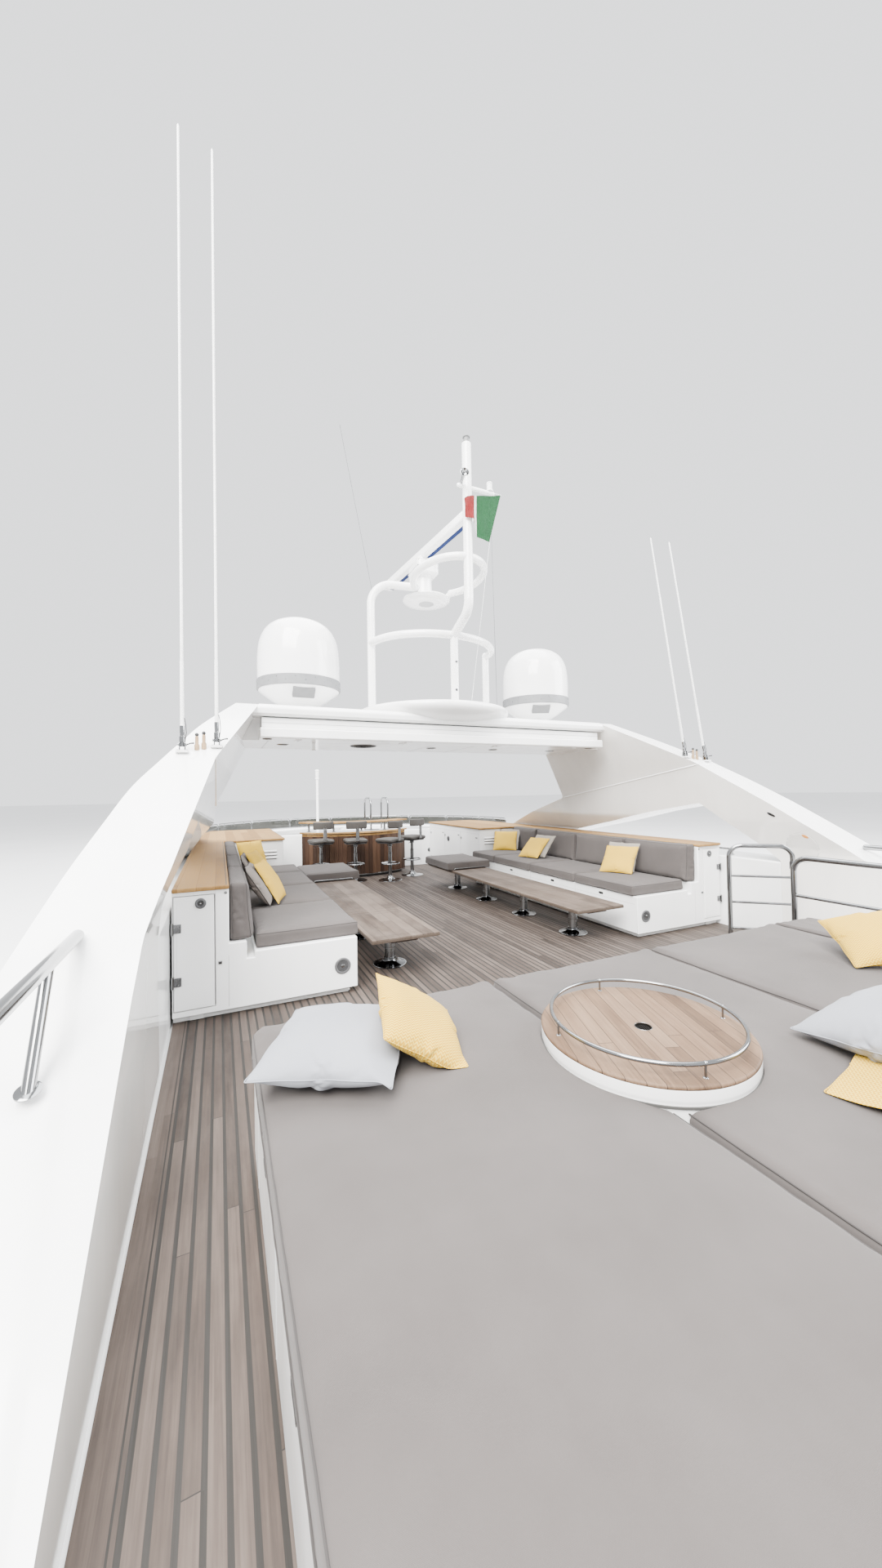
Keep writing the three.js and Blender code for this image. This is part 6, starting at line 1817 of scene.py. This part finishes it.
# ------------------------------------------------------------------ loose pillows
def pillow_form(w, h, t, seed, slack=0.0, n=36):
    """Two squares of cloth sewn at the rim, blown up, and the rim's vertices in order."""
    bm = bmesh.new()
    rnd = random.Random(seed)
    ph = [rnd.uniform(0, 6.28) for _ in range(6)]

    def start(i, j, sgn):
        u, v = 2 * i / n - 1, 2 * j / n - 1
        swell = (1 - abs(u) ** 2.4) * (1 - abs(v) ** 2.4)
        if SIMULATE:
            z = sgn * (3 + 26 * swell)
            pull = 1.0
        else:
            z = sgn * (t / 2) * swell ** 0.55
            pull = 1.0
        x = u * w / 2 * (pull - 0.075 * (1 - v * v) * abs(u) ** 3)
        y = v * h / 2 * (pull - 0.075 * (1 - u * u) * abs(v) ** 3)
        z += 2.5 * math.sin(u * 3.1 + ph[0]) * math.sin(v * 2.7 + ph[1]) * swell
        return Vector((x, y, z))
    grid = {}
    for sgn in (1, -1):
        for i in range(n + 1):
            for j in range(n + 1):
                rim = i in (0, n) or j in (0, n)
                key = (i, j, 0 if rim else sgn)
                if key not in grid:
                    q = start(i, j, sgn)
                    if rim:
                        q.z = 0
                    grid[key] = bm.verts.new(q)
    for sgn in (1, -1):
        for i in range(n):
            for j in range(n):
                quad = []
                for a, b in ((i, j), (i + 1, j), (i + 1, j + 1), (i, j + 1)):
                    rim = a in (0, n) or b in (0, n)
                    quad.append(grid[(a, b, 0 if rim else sgn)])
                if len(set(quad)) == 4:
                    bm.faces.new(quad if sgn > 0 else list(reversed(quad)))
    bm.verts.index_update()
    order = ([(i, 0) for i in range(n)] + [(n, j) for j in range(n)] + [(i, n) for i in range(n, 0, -1)] + [(0, j) for j in range(n, 0, -1)])
    rim_ids = [grid[(a, b, 0)].index for a, b in order]
    ids = {k: v.index for k, v in grid.items()}
    if SIMULATE:
        out = inflate(bm, pressure=5.5, steps=26, stiff=14.0, bend=0.06, fold=-0.02 - slack)
        bm.free()
        bm = out
        # every row and column is brought out to an almost straight seam, the folds between stay
        bm.verts.ensure_lookup_table()
        index = {k: v for k, v in ids.items()}
        wide = {j: (-bm.verts[index[(0, j, 0)]].co.x, bm.verts[index[(n, j, 0)]].co.x) for j in range(n + 1)}
        tall = {i: (-bm.verts[index[(i, 0, 0)]].co.y, bm.verts[index[(i, n, 0)]].co.y) for i in range(n + 1)}
        thick = max(abs(v.co.z) for v in bm.verts)
        for (i, j, _), k in index.items():
            v = bm.verts[k]
            a, b = 2 * i / n - 1, 2 * j / n - 1
            x_to = w / 2 * (1 - 0.05 * (1 - b * b) - 0.012 * (1 - abs(b)) * math.cos(b * 9 + ph[2]))
            y_to = h / 2 * (1 - 0.05 * (1 - a * a) - 0.012 * (1 - abs(a)) * math.cos(a * 8 + ph[3]))
            v.co.x *= x_to / max(wide[j][1 if v.co.x > 0 else 0], 1)
            v.co.y *= y_to / max(tall[i][1 if v.co.y > 0 else 0], 1)
            v.co.z *= t / 2 / thick
    return bm, rim_ids


FORMS = {}


def form(kind):
    if kind not in FORMS:
        seeds = {"plump": (4, 1.0, 0.0), "soft": (9, 0.8, 0.03), "slack": (15, 0.72, 0.06)}
        seed, k, slack = seeds[kind]
        FORMS[kind] = pillow_form(500, 500, 165 * k, seed, slack)
    return FORMS[kind]


def pillow(name, size, t, at_mm, euler, mat, slot_name, node=None, kind="plump", trim=None, planes=(), turn=0, bend=0.0):
    """Scales one of the sewn forms, sets it down, and flattens it against the planes that it rests on."""
    src, rim_ids = form(kind)
    bm = copy_of(src)
    bm.verts.ensure_lookup_table()
    thick = max(abs(v.co.z) for v in bm.verts)
    for v in bm.verts:
        v.co.x *= size[0] / 500
        v.co.y *= size[1] / 500
        v.co.z *= t / 2 / thick
        v.co.z += bend * ((v.co.x / size[0] * 2) ** 2 - 0.4)
    if turn:
        bm.transform(Matrix.Rotation(math.radians(90 * turn), 4, "Z"))
    eul = Matrix.Translation(at_mm) @ (Matrix.Rotation(math.radians(euler[2]), 4, "Z") @ Matrix.Rotation(math.radians(euler[1]), 4, "Y")
                                       @ Matrix.Rotation(math.radians(euler[0]), 4, "X"))
    bm.transform(eul)
    for po, nv, soft in planes:                # a plane: point, direction the pillow stays on, softness
        po, nv = Vector(po), Vector(nv).normalized()
        for v in bm.verts:
            d = (v.co - po).dot(nv)
            if d < soft:
                v.co += nv * (soft * math.exp((d - soft) / soft) - d)
    rim = [bm.verts[i].co.copy() for i in rim_ids]
    p = Part()
    p.add(tube(rim, 4.2 if trim else 2.2, 8, closed=True), trim or mat)
    p.add(bm, mat)
    local = MM @ eul
    place = Matrix.LocRotScale(local.to_translation(), local.to_quaternion(), None)
    ob = p.done(name, slot_name, [node] if node else (), angle=180, weighted=False, place=place)
    sub = ob.modifiers.new("smooth", "SUBSURF")
    sub.levels = 1
    sub.render_levels = 1
    return ob


SEAT_PLANE = ((0, 0, SEAT_TOP + 3), (0, 0, 1), 12)
PAD_PLANE = ((0, 0, PAD_TOP + 4), (0, 0, 1), 14)
PORT_BACK = ((-2213, 0, 560), (0.9956, 0, 0.0937), 10)
STARBOARD_BACK = ((2213, 0, 560), (-0.9956, 0, 0.0937), 10)
CABINET = ((0, UNIT_FWD - 8, 0), (0, -1, 0), 10)


def between(at_mm, direction, reach):
    """Two pillows in contact: the plane for the one at this place, and for the one beyond it."""
    d = Vector(direction).normalized()
    q = Vector(at_mm) + d * reach
    return (tuple(q - d * 0.8), tuple(-d), 12), (tuple(q + d * 0.8), tuple(d), 12)


# port sofa: grey with dark piping nearest, yellow leaning on it, the same again, one more yellow in the corner
near, far = between((-2118, -770, 740), (0.83, -0.19, 0.52), 56)
pillow("port_pillow_grey_1", (410, 410), 136, (-2118, -770, 740), (57.5, 0, 80), TAUPE, "pillow_pale", "port_sofa_pillows_1",
       "plump", PIPING, (SEAT_PLANE, PORT_BACK, near))
pillow("port_pillow_yellow_1", (420, 420), 100, (-2012, -690, 742), (60, 0, 74), YELLOW, "pillow_yellow", "port_sofa_pillows_1",
       "soft", None, (SEAT_PLANE, PORT_BACK, far), turn=1)
near, far = between((-2142, 160, 742), (0.84, -0.22, 0.49), 34)
pillow("port_pillow_grey_2", (380, 380), 100, (-2142, 160, 742), (60, 0, 80), TAUPE, "pillow_pale", "port_sofa_pillows_2",
       "soft", PIPING, (SEAT_PLANE, PORT_BACK, near))
pillow("port_pillow_yellow_2", (400, 400), 100, (-2040, 240, 742), (62, 0, 70), YELLOW, "pillow_yellow", "port_sofa_pillows_2",
       "plump", None, (SEAT_PLANE, PORT_BACK, far), turn=1)
pillow("port_pillow_yellow_3", (400, 400), 110, (-2044, 1500, 738), (66, 0, 34), YELLOW, "pillow_yellow", "port_sofa_pillows_3",
       "plump", None, (SEAT_PLANE, PORT_BACK, CABINET), turn=2)
# starboard sofa: a yellow one with a pale one behind it, three times
STARBOARD_PILLOWS = (
    (1, (1985, 1575, 702), (50, 0, -38.6), 392, (2075, 1612, 724), (60, 0, -50), 380, (0.56, 0.58, -0.59), 33),
    (2, (1834, 529, 697), (43, -1.6, -79), 388, (1935, 500, 722), (50, 0, -80), 385, (0.72, 0.12, -0.68), 27),
    (3, (1945, -1062, 704), (48, -1, -66), 392, (2030, -1015, 724), (57, 0, -68), 385, (0.73, 0.30, -0.61), 32))
for i, a_at, a_turn, a_size, b_at, b_turn, b_size, direction, reach in STARBOARD_PILLOWS:
    near, far = between(a_at, direction, reach)
    pillow(f"starboard_pillow_yellow_{i}", (a_size, a_size), 105, a_at, a_turn, YELLOW, "pillow_yellow", f"starboard_sofa_pillows_{i}",
           ("plump", "soft", "plump")[i - 1], None, (SEAT_PLANE, STARBOARD_BACK, CABINET, near), turn=i)
    pillow(f"starboard_pillow_pale_{i}", (b_size, b_size), 90, b_at, b_turn, LINEN, "pillow_pale", f"starboard_sofa_pillows_{i}",
           "soft", None, (SEAT_PLANE, STARBOARD_BACK, CABINET, far), turn=i + 1)
# on the sun pad
near, far = between((-1757, -3796, 666), (-0.51, 0.33, -0.79), 54)
pillow("sunpad_pillow_white", (490, 520), 145, (-2052, -3738, 638), (0, 0, -26), PALE, "pillow_pale", "port_sunpad_pillows",
       "soft", None, (PAD_PLANE, far))
pillow("sunpad_pillow_yellow", (372, 372), 120, (-1757, -3796, 666), (17.5, 33.6, -3), YELLOW, "pillow_yellow", "port_sunpad_pillows",
       "plump", None, (PAD_PLANE, near))
near, far = between((-185, -4645, 690), (0.16, -0.20, -0.97), 80)
pillow("sunpad_pillow_blue", (540, 540), 160, (-185, -4645, 690), (-10, -11, -8), PALE, "pillow_pale", "starboard_sunpad_pillows",
       "plump", None, (PAD_PLANE,))
pillow("sunpad_pillow_under", (470, 470), 84, (-425, -4795, 603), (0, 0, 9.5), YELLOW, "pillow_yellow", "starboard_sunpad_pillows",
       "slack", None, (((-425, -4795, 634), (0.16, -0.20, -0.97), 10), PAD_PLANE))
pillow("sunpad_pillow_forward", (440, 440), 130, (933, -4064, 696), (19.8, -13.5, -44.6), YELLOW, "pillow_yellow", "forward_sunpad_pillow",
       "soft", None, (PAD_PLANE,))
for src, _ in FORMS.values():
    src.free()

# ------------------------------------------------------------------ stage and light
floor = bmesh.new()
bmesh.ops.create_grid(floor, x_segments=2, y_segments=2, size=160)
me = bpy.data.meshes.new("floor")
floor.to_mesh(me)
floor.free()
ground = bpy.data.objects.new("floor", me)
COL.objects.link(ground)
fl = Look("floor_pale", (0.78, 0.78, 0.785), 0.7)
fl.set("Base Color", fl.mix(fl.level(fl.noise(0.4, detail=4), 0.3, 0.7), (0.76, 0.76, 0.765), (0.80, 0.80, 0.805)))
me.materials.append(fl.mat)

world = bpy.data.worlds.new("studio")
bpy.context.scene.world = world
world.use_nodes = True
wn = world.node_tree
bg = wn.nodes["Background"]
bg.inputs[0].default_value = (0.93, 0.945, 0.965, 1)
bg.inputs[1].default_value = 2.1


def area(name, at, to, size, power, color=(1, 1, 1), spread=math.pi):
    la = bpy.data.lights.new(name, "AREA")
    la.shape = "RECTANGLE"
    la.size, la.size_y = size
    la.energy = power
    la.color = color
    la.spread = spread
    ob = bpy.data.objects.new(name, la)
    COL.objects.link(ob)
    ob.location = at
    ob.rotation_euler = (Vector(to) - Vector(at)).to_track_quat("-Z", "Y").to_euler()
    ob.visible_glossy = True
    return ob


area("key", (-9, -11, 15), (0, 0, 1), (12, 12), 21000, (1.0, 0.985, 0.96))
area("top", (0, 2, 17), (0, 0, 0), (16, 20), 10500, (0.97, 0.985, 1.0))
area("fill", (12, -7, 8), (0, 0, 1), (9, 9), 5200, (0.96, 0.98, 1.0))
